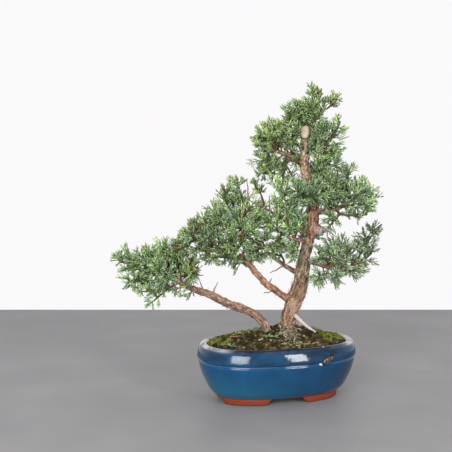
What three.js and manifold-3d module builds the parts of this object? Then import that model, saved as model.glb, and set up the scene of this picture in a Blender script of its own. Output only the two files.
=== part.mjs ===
// A kishu juniper bonsai in an oval, blue-glazed pot on four cloud feet.
// Millimetres, +Z up. +X runs along the tree's width and -Y is its front.
// The tree is drawn about the middle of the pot, and the whole is then moved so that the origin
// is the middle of its bounding box's bottom.
import * as THREE from "three";
import { mergeVertices } from "three/addons/utils/BufferGeometryUtils.js";
import Module from "manifold-3d";

const wasm = await Module();
wasm.setup();

// Driving dimensions of the pot.
const RIM_HALF_LENGTH = 77.7;
const RIM_HALF_WIDTH = 48;
const OVAL_POWER = 2.4; // 2 is an ellipse, more is squarer
const POT_TURN = THREE.MathUtils.degToRad(16); // its long side runs back on the right
const RIM_HEIGHT = 56.3;
const FLOOR_TOP = 10.5;
const FOOT_TOP = 4.5;
const GROUND = -2; // where the feet stand
const DRAIN_RADIUS = 8;
const DRAIN_SIDES = 14;
const DRAIN_SPACING = 64;
const OVAL_STEPS = 36;

// The pot's section from the middle of its underside, over the rim, to the middle of its floor:
// how far each ring stands in from the rim's oval, and its height.
const POT_OUTSIDE = [
  [13.5, FOOT_TOP],
  [8, 10.5],
  [3.7, 18.5],
  [0.4, 26.5],
  [-1.4, 32.5],
  [-2.6, 38.4],
  [-1.6, 40.3],
  [-3.8, 42.2],
  [-3.2, 48.5],
  [-1.2, 53.5],
  [0.2, 55.4],
  [1.8, RIM_HEIGHT],
];
const POT_INSIDE = [
  [4.4, RIM_HEIGHT],
  [6.1, 54.6],
  [6.6, 40],
  [8, 28],
  [11.5, 18],
  [15.5, 12.5],
  [22, FLOOR_TOP],
];

// Each foot runs along the oval of the underside between two angles of the oval's parameter.
const FOOT_SPANS = [
  [12.5, 80.5],
  [99.5, 167.5],
  [192.5, 260.5],
  [279.5, 347.5],
].map((span) => span.map(THREE.MathUtils.degToRad));
const FOOT_STEPS = 9;
const FOOT_FLAT = 0.72; // the share of its length that stands on the ground
const FOOT_SWEEP_LEFT = 0.4; // how far below the body its swept-up ends stop
const FOOT_INSET = 14.2;
const FOOT_BATTER = 1.6; // its face leans in by this much on the way down
const FOOT_DEPTH = 9;
const FOOT_BURY = 1.2;

// Drainage screens.
const SCREEN_SIDE = 25;
const SCREEN_THICKNESS = 0.9;
const SCREEN_HOLES = 3; // along each side
const SCREEN_BAR = 1.6;

// The clear space between two pieces that touch.
const SEAT_GAP = 0.35;

// Soil: a mound that stands highest at the foot of the trunk.
const SOIL_EDGE = 54;
const MOUND_RISE = 12;
const MOUND_POWER = 1.8;
const COLLAR_RISE = 7.5; // the extra heap round the trunk
const COLLAR_REACH = 20;
const LUMP_HEIGHT = 0.7;
const TRUNK_FOOT = new THREE.Vector2(12.5, 0);
const MOUND_RINGS = [0.93, 0.8, 0.66, 0.51, 0.36, 0.2];

// Woody limbs: each point is x, y, z and the limb's radius there.
const TRUNK = [
  [10.5, 0, 56, 7.6],
  [11, 0, 70.5, 7.1],
  [12, 0, 81.5, 7],
  [16, 0, 93.5, 8.1],
  [21.5, 0, 107, 8.1],
  [24.5, 0.5, 119, 7.2],
  [26, 1, 130.5, 6.7],
  [27, 2, 141.5, 5.8],
  [30.5, 3, 152.5, 5.9],
  [32.5, 3.5, 162.5, 5.7],
  [33.5, 3.5, 173, 7.4],
  [34.5, 3.5, 183, 7.3],
  [36.5, 4, 193, 6],
  [37.5, 4.5, 202, 5],
  [34.5, 4.5, 211, 4.8],
  [30, 4, 219, 4.7],
  [27.5, 3, 228, 4.7],
  [26.5, 2, 238, 4.8],
  [27.5, 1, 248, 4.5],
  [28, 0.5, 257, 4.4],
  [27.5, 0.5, 264, 4.2],
];
const LIMBS = {
  low: [
    [10, -3, 57, 3.8],
    [0, -6, 58, 3.8],
    [-8, -6.5, 63, 3.8],
    [-13, -6.5, 73, 3.8],
    [-19, -6.5, 80.5, 3.9],
    [-27.5, -6.5, 86, 3.9],
    [-37.5, -6.5, 90, 4],
    [-49, -6, 94, 4],
    [-60, -6, 99.5, 3.8],
    [-71, -5, 104.5, 3.5],
    [-80, -4, 107, 3.2],
    [-89, -3, 110.5, 3],
    [-98, -2, 116, 2.7],
    [-106, -1, 122, 2.3],
    [-111, 0, 129, 1.8],
  ],
  middle: [
    [16, 0, 98, 4.6],
    [11, -2, 99, 4],
    [3, -5, 103.5, 3.6],
    [-4, -8, 109.5, 3.3],
    [-12, -10, 115, 3.2],
    [-17.5, -11, 121.5, 3.1],
    [-23.5, -12, 128, 3],
    [-28.5, -12, 134.5, 2.9],
    [-38, -11, 140, 2.6],
    [-48, -10, 143.5, 2.4],
    [-58, -9, 146.5, 2.2],
    [-68, -8, 150.5, 2],
    [-75, -8, 155, 1.7],
    [-79, -8, 158, 1.4],
  ],
  rear: [
    [24, 2, 124, 2.8],
    [18, 4, 125.5, 2.6],
    [11, 6, 129.5, 2.3],
    [3, 8, 134.5, 2.1],
    [-5, 10, 140.5, 1.9],
    [-12.5, 11, 147, 1.7],
    [-22, 12, 156, 1.4],
  ],
  thin: [
    [32, 0, 165, 2.6],
    [25, -3, 166, 2.3],
    [16.5, -4, 173, 2],
    [6.5, -4, 179, 1.7],
    [-2.5, -3, 184, 1.5],
    [-11.5, -2, 189, 1.3],
    [-20, -1, 193, 1.1],
  ],
  centre: [
    [31, 2, 157, 2.8],
    [24, -5, 158, 2.2],
    [16, -10, 160, 1.7],
    [9, -11.5, 162.5, 1.3],
  ],
  inner: [
    [36, 4, 190, 2.8],
    [28, -2, 195, 2],
    [21, -5, 198, 1.4],
  ],
  front: [
    [36, 3, 187, 2.8],
    [33, -7, 192, 2],
    [29, -14, 197, 1.3],
  ],
  right: [
    [36, 4, 187, 3.6],
    [44, 1, 186.5, 3.1],
    [52, -1, 187, 2.7],
    [60, -2, 190, 2.3],
    [68, -3, 194, 1.9],
    [73, -3, 197.5, 1.5],
    [77, -3, 200, 1.3],
  ],
  low_right: [
    [27, 2, 138, 3.2],
    [34, -1, 136, 2.7],
    [43, -4, 133.5, 2.3],
    [52, -5, 131, 2],
    [62, -5, 129.5, 1.7],
    [71, -4, 131, 1.4],
    [75, -3, 133.5, 1.3],
  ],
  low_back: [
    [28, 3, 147, 3],
    [30, 12, 151, 2.2],
    [29, 24, 157, 1.7],
    [26, 33, 162, 1.3],
  ],
  mid_back: [
    [37, 5, 198, 2.8],
    [41, 14, 201, 2.1],
    [43, 25, 206, 1.6],
    [42, 31, 210, 1.3],
  ],
  crown_left: [
    [28, 2, 229, 3.4],
    [19, 0, 238, 2.9],
    [8, -2, 243, 2.3],
    [-2, -3, 247, 1.9],
    [-7, -4, 249, 1.6],
    [-11, -4, 253, 1.3],
  ],
  crown_right: [
    [28, 1, 243, 2.7],
    [36, -1, 248, 2.1],
    [44, -3, 251, 1.7],
    [50, -3, 255, 1.3],
  ],
  crown_back: [
    [27, 2, 240, 2.5],
    [28, 11, 246, 1.9],
    [27, 18, 252, 1.3],
  ],
  leader: [
    [28, 1, 250, 2.9],
    [31, 3, 262, 2.4],
    [35, 4, 272, 1.8],
    [37.5, 3.5, 281, 1.4],
  ],
  dead_root: [
    [14, -2, 85, 1.8],
    [20, -5, 80, 1.9],
    [27, -8, 73.5, 1.7],
    [38, -12, 66.5, 0.6],
  ],
};
const SIDES = { low: 8, middle: 8, right: 6, rear: 6, low_right: 6, crown_left: 6 };
const FEWEST_SIDES = 5;
const TRUNK_SIDES = 10;
const TRUNK_STEPS = 26;
const TRUNK_RELIEF = 0.09;
const LIMB_STEP = 11; // the length of one step along a limb

// Bare dead twigs, each from its root in a limb to its tip.
const BARE_TWIGS = [
  [[-19, -1, 192.5], [-30, 1, 199]],
  [[-28.5, 0.7, 198], [-31, 0, 218]],
  [[-14, -1.5, 190.5], [-18, -8, 205]],
  [[-8, -2, 187.5], [-9, -7, 203]],
  [[0, -3, 182.5], [0, 4, 196]],
  [[4, -4, 180], [-12, -9, 173]],
  [[-2, -7, 108], [-14, -9, 105]],
  [[-9, -9, 113], [-6, -8, 120]],
  [[-66, -5.5, 101.5], [-60, -4, 116]],
  [[-77, -4.5, 107], [-77, -10, 121]],
  [[37, 6, 176], [59, 2, 161]],
  [[49.5, 3.7, 167.5], [52, 4, 157]],
  [[8, 7, 131.5], [-7, 4, 124]],
];
const BARE_ROOT = 1.1;
const BARE_TIP = 0.5;

// Two pruning cuts closed with paste: the cut's middle, the way it faces, the half-width and
// half-height of its oval, and how deep its stub reaches back into the trunk.
const CUTS = {
  top: { at: [26.5, -4.2, 265.5], facing: [-0.3, -0.87, 0.38], oval: [4.3, 6.6], stub: 5 },
  side: { at: [42.5, -1, 167], facing: [0.84, -0.48, -0.25], oval: [3.4, 4.6], stub: 9 },
};
const PASTE_THICKNESS = 2.6;
const PASTE_SIDES = 12;
const STUB_SIDES = 10;
const STUB_SPREAD = 1.05; // how much wider the stub is at its root

// Bunches of foliage. Each starts on its limb, runs bare to its root and fans out there in stems,
// which end at the points given. The fourth number is how far a stem's sprigs reach out from it.
const BUNCHES = {
  low_tip: { on: "low", root: [-118, -2, 130], tips: [[-158, -4, 136, 9], [-149, -14, 120, 8]] },
  low_upper: { on: "low", root: [-108, 8, 131], tips: [[-131, -6, 142, 8], [-137, 13, 138, 9]] },
  low_crest: { on: "low", root: [-101, 0, 129], tips: [[-113, -1, 149, 10], [-97, 11, 149, 10]] },
  low_belly: { on: "low", root: [-110, 3, 120], tips: [[-139, 7, 112, 8], [-148, 4, 126, 9]] },
  low_drop: { on: "low", root: [-103, -6, 113], tips: [[-137, -10, 107, 5], [-127, -8, 95, 5]] },
  low_heel: { on: "low", root: [-96, 3, 121], tips: [[-87, 6, 134, 8], [-83, -4, 124, 8]] },
  low_front: { on: "low", root: [-107, -9, 124], tips: [[-118, -30, 129, 11]] },
  low_rear: { on: "low", root: [-92, 8, 116], tips: [[-104, 30, 130, 11]] },
  mid_tip: { on: "middle", root: [-82, -9, 160], tips: [[-88, -13, 165, 8], [-95, -2, 150, 9]] },
  mid_crest: { on: "middle", root: [-72, -6, 162], tips: [[-80, -3, 173, 8], [-71, -15, 175, 9]] },
  mid_rise: { on: "middle", root: [-65, -4, 155], tips: [[-65, 7, 184, 10]] },
  mid_front: { on: "middle", root: [-64, -14, 151], tips: [[-73, -22, 160, 9], [-58, -24, 154, 9]] },
  mid_under: { on: "middle", root: [-54, -12, 142], tips: [[-74, -10, 149, 8], [-45, -20, 144, 8]] },
  third_top: { on: "middle", root: [-45, -5, 164], tips: [[-54, -4, 203, 10], [-39, 4, 212, 9]] },
  third_front: { on: "middle", root: [-42, -16, 150], tips: [[-58, -21, 176, 11], [-38, -23, 181, 12]] },
  third_right: { on: "rear", root: [-20, 6, 161], tips: [[-22, 2, 185, 10]] },
  third_under: { on: "rear", root: [-16, 6, 150], tips: [[-26, -3, 143, 8]] },
  third_back: { on: "rear", root: [-29, 16, 160], tips: [[-42, 27, 183, 12]] },
  dead_sprig: { on: "thin", root: [-14, 4, 196], tips: [[-23, -1, 212, 6]] },
  centre_left: { on: "centre", root: [5, -12, 165], tips: [[-9, -15, 173, 11], [-8, -22, 155, 9]] },
  centre_near: { on: "centre", root: [17, -13, 164], tips: [[12, -19, 173, 9], [23, -18, 175, 9]] },
  centre_high: { on: "thin", root: [10, -8, 180], tips: [[8, -11, 189, 8]] },
  centre_front: { on: "centre", root: [21, -12, 155], tips: [[13, -17, 147, 7]] },
  rear_sprig: { on: "rear", root: [7, 4, 136], tips: [[0, 0, 148, 7]] },
  crown_left_tip: { on: "crown_left", root: [-13, -4, 256], tips: [[-18, -8, 262, 7], [-9, 4, 267, 8]] },
  crown_left_low: { on: "crown_left", root: [-10, -6, 246], tips: [[-14, 0, 247, 7], [-12, -13, 235, 8]] },
  crown_left_front: { on: "crown_left", root: [-1, -9, 251], tips: [[-6, -14, 266, 9], [8, -16, 266, 9]] },
  crown_left_heel: { on: "crown_left", root: [6, -4, 237], tips: [[-14, -2, 225, 9], [13, -9, 224, 10]] },
  crown_left_back: { on: "crown_left", root: [-3, 5, 251], tips: [[-7, 23, 259, 11]] },
  crown_inner: { on: "crown_left", root: [14, -5, 247], tips: [[13, -12, 262, 9]] },
  crown_shoulder: { on: "leader", root: [24, 5, 272], tips: [[11, -2, 280, 9], [20, 4, 288, 9]] },
  top: { on: "leader", root: [38, 3, 286], tips: [[42, -2, 302, 7], [33, -6, 303, 6], [60, 5, 299, 6]] },
  crown_right_tip: { on: "crown_right", root: [53, -3, 259], tips: [[61, -8, 276, 6], [57, 4, 263, 8]] },
  crown_right_low: { on: "crown_right", root: [45, -7, 247], tips: [[55, -12, 245, 7], [55, -1, 231, 8]] },
  crown_right_heel: { on: "crown_right", root: [37, -6, 241], tips: [[42, -12, 229, 9]] },
  crown_right_inner: { on: "crown_right", root: [42, -4, 256], tips: [[44, -8, 268, 9]] },
  crown_front: { on: "leader", root: [35, -3, 270], tips: [[35, -17, 284, 10]] },
  crown_back: { on: "crown_back", root: [27, 22, 256], tips: [[28, 25, 284, 11], [40, 31, 250, 11]] },
  right_tip: {
    on: "right",
    root: [80, -3, 203],
    tips: [[90, -5, 206, 8], [83, 7, 213, 7], [89, -12, 191, 9]],
  },
  right_crest: { on: "right", root: [65, -3, 198], tips: [[72, -2, 220, 10], [79, -10, 204, 8]] },
  right_under: { on: "right", root: [60, -6, 186], tips: [[89, -7, 184, 6], [53, -10, 176, 8]] },
  right_front: { on: "right", root: [50, -7, 193], tips: [[49, -21, 213, 11]] },
  trunk_front: { on: "front", root: [27, -17, 201], tips: [[16, -24, 209, 9], [36, -24, 207, 9]] },
  trunk_left: { on: "inner", root: [17, -6, 200], tips: [[-1, -9, 207, 9], [0, -9, 192, 9]] },
  right_back: { on: "right", root: [54, 6, 193], tips: [[60, 28, 206, 12]] },
  mid_back: { on: "mid_back", root: [42, 35, 214], tips: [[44, 46, 226, 11], [27, 36, 204, 10]] },
  low_right_tip: { on: "low_right", root: [79, -3, 138], tips: [[96, 1, 165, 8], [94, -7, 146, 8]] },
  low_right_crest: { on: "low_right", root: [68, -7, 136], tips: [[78, -9, 150, 8]] },
  low_right_drop: { on: "low_right", root: [69, -1, 126], tips: [[83, 0, 133, 7]] },
  low_right_inner: { on: "low_right", root: [50, -9, 136], tips: [[54, -13, 148, 9], [39, -11, 147, 7]] },
  low_right_under: { on: "low_right", root: [50, -5, 126], tips: [[60, -9, 122, 8], [40, -10, 122, 9]] },
  low_right_back: { on: "low_right", root: [58, 1, 134], tips: [[68, 22, 143, 11]] },
  low_back: { on: "low_back", root: [25, 37, 164], tips: [[20, 46, 176, 10], [41, 37, 155, 10]] },
};

// The build of a bunch. A stem is a row of bare stretches and short knots, and a knot bears one
// sprig and up to three shoots. A sprig is two knots long, with a shoot on each side and at its tip.
const STEM_STEP = 8.7; // from one knot to the next
const STEM_KNOT = 2.8;
const STEM_HALF = 1.05; // half the stem's width at its root, and at its end
const STEM_END_HALF = 0.8;
const STEM_ROOM = 1.2; // a stem's room over its half width
const STEM_LAUNCH = 0.4; // how much of its length it points the way it starts
const SPRIG_HALF = 0.85;
const SPRIG_KNOT = 3.4; // at full size
const SPRIG_SIZES = [1.1, 0.85]; // at the stem's root, and at its end
const SPRIG_LEANS = [0.45, 0.85]; // how far it leans forward there
const SPRIG_WAY = 0.5; // how much of its end shoot has to have a clear way
const SPRIG_ATTEMPTS = 12;
const SPRIG_SWAY = 0.4; // how far it turns aside, which grows with each attempt
const SWAY_GROWTH = 0.3;
const SPRIG_SHRINK = 0.04; // how much shorter it gets with each attempt
const STEM_BENDS = [[0, 0], [0, 0.25], [0.25, 0], [-0.25, 0], [0, -0.25], [0.4, 0.3], [-0.4, 0.3]];
const SHOOT_LENGTH = 10.5; // at full size
const END_STRETCH = 1.1; // how much longer a stem's end shoot is
const SHOOT_LEAN = 0.7; // how far a shoot leans forward along what it grows from
const SHOOT_VARIES = 0.3; // the spread of its lean and of its length
const SHOOT_SHARES = [1, 0.78, 0.58]; // the lengths that are tried
const FULL_REACH = 10; // the reach that takes sprigs and shoots at full size
const LIFT = 0.18; // foliage turns up a little
const SHOOT_RADIUS = 0.5; // a shoot's own room when the way is tested
const CLEARANCE = 0.3;
const FOOT_LEAN = 3; // how far back along its stem a bunch's foot meets the limb
const SEAT_STEP = 0.05;
const TRUNK_ROOM = 1.1; // the trunk's room over its radius
const RING_SAMPLES = 10; // places tried between two rings of a limb
const TRUNK_STRETCHES = 40; // how finely the room of the trunk is marked, and of a limb
const LIMB_STRETCHES = 24;
const STEM_TRIALS = 6; // the stretches of a stem's curve that are tried for a clear way
const FIRST_SIDE = new THREE.Vector3(0.31, 0.89, 0.12); // no stem points this way

const BARK = 0x8a6a55;
const GREENS = [0x5c7f4a, 0x4f7550, 0x688a52, 0x56785c];

// Repeatable draws between 0 and 1 from one seed.
function seededDraw(seed) {
  let state = seed;
  return () => {
    state = (state + 0x6d2b79f5) | 0;
    let mixed = Math.imul(state ^ (state >>> 15), 1 | state);
    mixed = (mixed + Math.imul(mixed ^ (mixed >>> 7), 61 | mixed)) ^ mixed;
    return ((mixed ^ (mixed >>> 14)) >>> 0) / 4294967296;
  };
}

const vector = ([x, y, z]) => new THREE.Vector3(x, y, z);

function solidOf(geometry) {
  const bare = geometry.index ? geometry.toNonIndexed() : geometry.clone();
  bare.deleteAttribute("normal");
  bare.deleteAttribute("uv");
  const merged = mergeVertices(bare, 1e-4);
  return new wasm.Manifold(
    new wasm.Mesh({
      numProp: 3,
      vertProperties: merged.attributes.position.array,
      triVerts: new Uint32Array(merged.index.array),
    }),
  );
}

function geometryOf(solid) {
  const { vertProperties, triVerts } = solid.getMesh();
  const geometry = new THREE.BufferGeometry();
  geometry.setAttribute("position", new THREE.BufferAttribute(vertProperties, 3));
  geometry.setIndex(new THREE.BufferAttribute(triVerts, 1));
  return geometry;
}

// A closed skin from points and triangles of point numbers.
function skinOf(points, triangles) {
  const geometry = new THREE.BufferGeometry().setFromPoints(points);
  geometry.setIndex(triangles.flat());
  return geometry;
}

// A closed skin over rings of points, each ring anticlockwise seen from the way the rings run,
// with a point that closes it at each end.
function loft(rings, firstPole, lastPole) {
  const around = rings[0].length;
  const points = [...rings.flat(), firstPole, lastPole];
  const first = points.length - 2;
  const last = points.length - 1;
  const top = (rings.length - 1) * around;
  const triangles = [];
  for (let j = 0; j < around; j++) {
    const next = (j + 1) % around;
    triangles.push([first, next, j], [last, top + j, top + next]);
    for (let i = 0; i < rings.length - 1; i++) {
      const low = i * around;
      const high = low + around;
      triangles.push([low + j, low + next, high + next], [low + j, high + next, high + j]);
    }
  }
  return skinOf(points, triangles);
}

// The pot and what fills it share one oval.
function ovalPoint(angle, inset, z) {
  const power = 2 / OVAL_POWER;
  const x = Math.sign(Math.cos(angle)) * Math.abs(Math.cos(angle)) ** power;
  const y = Math.sign(Math.sin(angle)) * Math.abs(Math.sin(angle)) ** power;
  return new THREE.Vector3(x * (RIM_HALF_LENGTH - inset), y * (RIM_HALF_WIDTH - inset), z);
}

function ovalRing(inset, z) {
  return Array.from({ length: OVAL_STEPS }, (_, i) =>
    ovalPoint((i / OVAL_STEPS) * 2 * Math.PI, inset, z),
  );
}

// A foot is a curved bar under the oval, whose ends sweep up into the body as a cloud's edge does.
function makeFoot([from, to]) {
  const rings = [];
  for (let i = 0; i <= FOOT_STEPS; i++) {
    const across = (2 * i) / FOOT_STEPS - 1;
    const sweep = THREE.MathUtils.smoothstep(Math.abs(across), FOOT_FLAT, 1);
    const angle = THREE.MathUtils.lerp(from, to, i / FOOT_STEPS);
    const low = THREE.MathUtils.lerp(GROUND, FOOT_TOP - FOOT_SWEEP_LEFT, sweep);
    const lean = THREE.MathUtils.mapLinear(low, GROUND, FOOT_TOP, FOOT_BATTER, 0);
    rings.push([
      ovalPoint(angle, FOOT_INSET + FOOT_DEPTH, FOOT_TOP + FOOT_BURY),
      ovalPoint(angle, FOOT_INSET, FOOT_TOP + FOOT_BURY),
      ovalPoint(angle, FOOT_INSET + lean, low),
      ovalPoint(angle, FOOT_INSET + FOOT_DEPTH, low),
    ]);
  }
  const middleOf = (ring) =>
    ring.reduce((sum, point) => sum.add(point), new THREE.Vector3()).divideScalar(ring.length);
  return loft(rings, middleOf(rings[0]), middleOf(rings.at(-1)));
}

function drainPlaces() {
  return [-DRAIN_SPACING / 2, DRAIN_SPACING / 2];
}

function makePot() {
  const rings = [...POT_OUTSIDE, ...POT_INSIDE].map(([inset, z]) => ovalRing(inset, z));
  const underside = new THREE.Vector3(0, 0, FOOT_TOP);
  const floor = new THREE.Vector3(0, 0, FLOOR_TOP);
  let pot = solidOf(loft(rings, underside, floor));
  for (const span of FOOT_SPANS) pot = pot.add(solidOf(makeFoot(span)));
  for (const x of drainPlaces()) {
    const drain = new THREE.CylinderGeometry(DRAIN_RADIUS, DRAIN_RADIUS, 4 * FLOOR_TOP, DRAIN_SIDES);
    drain.rotateX(Math.PI / 2).translate(x, 0, 0);
    pot = pot.subtract(solidOf(drain));
  }
  return geometryOf(pot);
}

// A square of plastic mesh over a drainage hole.
function makeScreen() {
  const pitch = (SCREEN_SIDE - SCREEN_BAR) / SCREEN_HOLES;
  const opening = pitch - SCREEN_BAR;
  let screen = solidOf(new THREE.BoxGeometry(SCREEN_SIDE, SCREEN_SIDE, SCREEN_THICKNESS));
  for (let i = 0; i < SCREEN_HOLES; i++) {
    for (let j = 0; j < SCREEN_HOLES; j++) {
      const hole = new THREE.BoxGeometry(opening, opening, 2 * SCREEN_THICKNESS);
      hole.translate((i - (SCREEN_HOLES - 1) / 2) * pitch, (j - (SCREEN_HOLES - 1) / 2) * pitch, 0);
      screen = screen.subtract(solidOf(hole));
    }
  }
  return geometryOf(screen).translate(0, 0, SCREEN_THICKNESS / 2);
}

// The soil's height over a point of the pot, given in the pot's own directions.
function soilHeight(x, y) {
  const inner = POT_INSIDE[1][0];
  const across =
    (Math.abs(x) / (RIM_HALF_LENGTH - inner)) ** OVAL_POWER +
    (Math.abs(y) / (RIM_HALF_WIDTH - inner)) ** OVAL_POWER;
  const outward = Math.min(1, across ** (1 / OVAL_POWER));
  const foot = TRUNK_FOOT.clone().rotateAround(new THREE.Vector2(), -POT_TURN);
  const distance = Math.hypot(x - foot.x, y - foot.y);
  const lumps = Math.sin(x / 5.1 + 1) * Math.cos(y / 4.3) + 0.7 * Math.sin((x + 2 * y) / 7.7);
  return (
    SOIL_EDGE +
    MOUND_RISE * (1 - outward ** MOUND_POWER) +
    COLLAR_RISE * Math.exp(-((distance / COLLAR_REACH) ** 2)) +
    LUMP_HEIGHT * lumps * (1 - outward ** 4)
  );
}

// The soil fills the pot up to the wall, with holes where the tree stands in it.
function makeSoil(standing) {
  const wall = POT_INSIDE.slice(2).reverse();
  const rings = wall.map(([inset, z]) => ovalRing(inset + SEAT_GAP, z + SEAT_GAP));
  rings.push(ovalRing(POT_INSIDE[1][0] + 2 * SEAT_GAP, SOIL_EDGE));
  for (const share of MOUND_RINGS) {
    const ring = ovalRing(POT_INSIDE[1][0], 0).map((point) => point.multiplyScalar(share));
    for (const point of ring) point.z = soilHeight(point.x, point.y);
    rings.push(ring);
  }
  const under = new THREE.Vector3(0, 0, FLOOR_TOP + SEAT_GAP);
  const peak = new THREE.Vector3(0, 0, soilHeight(0, 0));
  let soil = solidOf(loft(rings, under, peak));
  for (const x of drainPlaces()) {
    const room = SCREEN_SIDE + 2 * SEAT_GAP;
    const height = 2 * (SCREEN_THICKNESS + 2 * SEAT_GAP);
    const pocket = new THREE.BoxGeometry(room, room, height).translate(x, 0, FLOOR_TOP);
    soil = soil.subtract(solidOf(pocket));
  }
  for (const stem of standing) soil = soil.subtract(solidOf(stem.clone().rotateZ(-POT_TURN)));
  return geometryOf(soil);
}

function radiusAlong(route, t) {
  const place = t * (route.length - 1);
  const before = Math.min(Math.floor(place), route.length - 2);
  return THREE.MathUtils.lerp(route[before][3], route[before + 1][3], place - before);
}

function curveOf(route) {
  return new THREE.CatmullRomCurve3(route.map(vector), false, "centripetal");
}

// A tapered limb with closed ends. Swell makes it thicker and longer all over, and relief
// gives it the long hollows and ridges of old wood.
function makeLimb(route, sides, steps, { swell = 0, relief = 0 } = {}) {
  const curve = curveOf(route);
  const frames = curve.computeFrenetFrames(steps);
  const rings = [];
  const centres = [];
  for (let i = 0; i <= steps; i++) {
    const t = curve.getUtoTmapping(i / steps);
    const lengthen = i === 0 ? -swell : i === steps ? swell : 0;
    const centre = curve.getPoint(t).addScaledVector(frames.tangents[i], lengthen);
    const radius = radiusAlong(route, t) + swell;
    const ring = [];
    for (let j = 0; j < sides; j++) {
      const angle = (j / sides) * 2 * Math.PI;
      const ridges = Math.sin(3 * angle + centre.z / 9) + 0.6 * Math.sin(2 * angle - centre.z / 14);
      const reach = radius * (1 + relief * ridges);
      ring.push(
        centre
          .clone()
          .addScaledVector(frames.normals[i], reach * Math.cos(angle))
          .addScaledVector(frames.binormals[i], reach * Math.sin(angle)),
      );
    }
    rings.push(ring);
    centres.push(centre);
  }
  return loft(rings, centres[0], centres.at(-1));
}

function limbSteps(route) {
  return Math.max(2, Math.round(curveOf(route).getLength() / LIMB_STEP));
}

function makeTrunk(swell) {
  return makeLimb(TRUNK, TRUNK_SIDES, TRUNK_STEPS, { swell, relief: TRUNK_RELIEF });
}

function makeNamedLimb(name, swell = 0) {
  const route = LIMBS[name];
  return makeLimb(route, SIDES[name] ?? FEWEST_SIDES, limbSteps(route), { swell });
}

// A cut's own directions: across its oval, the way it faces, and along its oval.
function cutBasis({ facing }) {
  const normal = vector(facing).normalize();
  const along = new THREE.Vector3(0, 0, 1).addScaledVector(normal, -normal.z).normalize();
  const across = normal.clone().cross(along);
  return new THREE.Matrix4().makeBasis(across, normal, along);
}

function makeStub(cut) {
  const geometry = new THREE.CylinderGeometry(1, STUB_SPREAD, cut.stub, STUB_SIDES);
  geometry.translate(0, -cut.stub / 2, 0).scale(cut.oval[0], 1, cut.oval[1]);
  return geometry.applyMatrix4(cutBasis(cut)).translate(...cut.at);
}

// The paste is a low dome that lies on the cut and a little over its edge.
function makePaste(cut) {
  const profile = [
    [0, 0],
    [1.02, 0],
    [1.08, 0.25],
    [0.98, 0.6],
    [0.7, 0.88],
    [0.35, 1],
    [0, 1.02],
  ].map(([out, up]) => new THREE.Vector2(out, up * PASTE_THICKNESS));
  const geometry = new THREE.LatheGeometry(profile, PASTE_SIDES);
  geometry.translate(0, SEAT_GAP, 0).scale(cut.oval[0], 1, cut.oval[1]);
  return geometry.applyMatrix4(cutBasis(cut)).translate(...cut.at);
}

// How far a point lies outside a limb, whose far end is flat.
function gapToLimb(point, { places, tangents, radii }) {
  const distances = places.map((place) => place.distanceTo(point));
  const nearest = distances.indexOf(Math.min(...distances));
  const offset = point.clone().sub(places[nearest]);
  const beyond = nearest === places.length - 1 ? Math.max(0, offset.dot(tangents[nearest])) : 0;
  const aside = offset.addScaledVector(tangents[nearest], -offset.dot(tangents[nearest])).length();
  return Math.hypot(beyond, Math.max(0, aside - radii[nearest]));
}

// Places along a limb as it is lofted, straight from ring to ring.
function sampleLimb(route) {
  const curve = curveOf(route);
  const steps = limbSteps(route);
  const places = curve.getSpacedPoints(steps);
  const radii = places.map((_, i) => radiusAlong(route, curve.getUtoTmapping(i / steps)));
  const samples = { places: [], tangents: [], radii: [] };
  for (let i = 0; i < steps; i++) {
    const tangent = places[i + 1].clone().sub(places[i]).normalize();
    for (let j = i === 0 ? 0 : 1; j <= RING_SAMPLES; j++) {
      samples.places.push(places[i].clone().lerp(places[i + 1], j / RING_SAMPLES));
      samples.tangents.push(tangent);
      samples.radii.push(THREE.MathUtils.lerp(radii[i], radii[i + 1], j / RING_SAMPLES));
    }
  }
  return samples;
}

// Where a bunch sits on its limb: a little way back from its root, a seat's gap off the bark.
function findSeat({ on, root, tips }) {
  const limb = sampleLimb(LIMBS[on]);
  const end = vector(root);
  const aim = vector(tips[0]).sub(end).normalize();
  const back = end.clone().addScaledVector(aim, -FOOT_LEAN);
  const foot = limb.places.reduce((best, place) =>
    place.distanceTo(back) < best.distanceTo(back) ? place : best,
  );
  const direction = end.clone().sub(foot).normalize();
  const start = foot.clone();
  const corners = () => cornersAround(start, direction, STEM_HALF);
  while (Math.min(...corners().map((corner) => gapToLimb(corner, limb))) < SEAT_GAP) {
    start.addScaledVector(direction, SEAT_STEP);
  }
  return { start, direction };
}

// Straight stretches of wood and foliage that are already there, each with its room,
// its bunch and its sprig.
const taken = [];

// The least distance between two straight stretches.
function stretchDistance(a, b, c, d) {
  const u = b.clone().sub(a);
  const v = d.clone().sub(c);
  const w = a.clone().sub(c);
  const uu = u.dot(u);
  const uv = u.dot(v);
  const vv = v.dot(v);
  const uw = u.dot(w);
  const vw = v.dot(w);
  const clamp = (value) => Math.min(1, Math.max(0, value));
  const cross = uu * vv - uv * uv;
  let s = cross > 1e-9 ? clamp((uv * vw - vv * uw) / cross) : 0;
  const t = clamp((uv * s + vw) / vv);
  s = clamp((uv * t - uw) / uu);
  return w.addScaledVector(u, s).addScaledVector(v, -t).length();
}

// Whether a stretch is clear of all that is taken. The stretches that skip names aren't asked.
function isClear(from, to, radius, skip) {
  const middle = from.clone().add(to).multiplyScalar(0.5);
  const half = from.distanceTo(to) / 2;
  return taken.every((other) => {
    const room = radius + other.radius + CLEARANCE;
    if (middle.distanceTo(other.middle) > half + other.half + room) return true;
    if (skip(other)) return true;
    return stretchDistance(from, to, other.from, other.to) > room;
  });
}

function take(from, to, radius, marks) {
  const middle = from.clone().add(to).multiplyScalar(0.5);
  taken.push({ from, to, radius, middle, half: from.distanceTo(to) / 2, ...marks });
}

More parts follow.
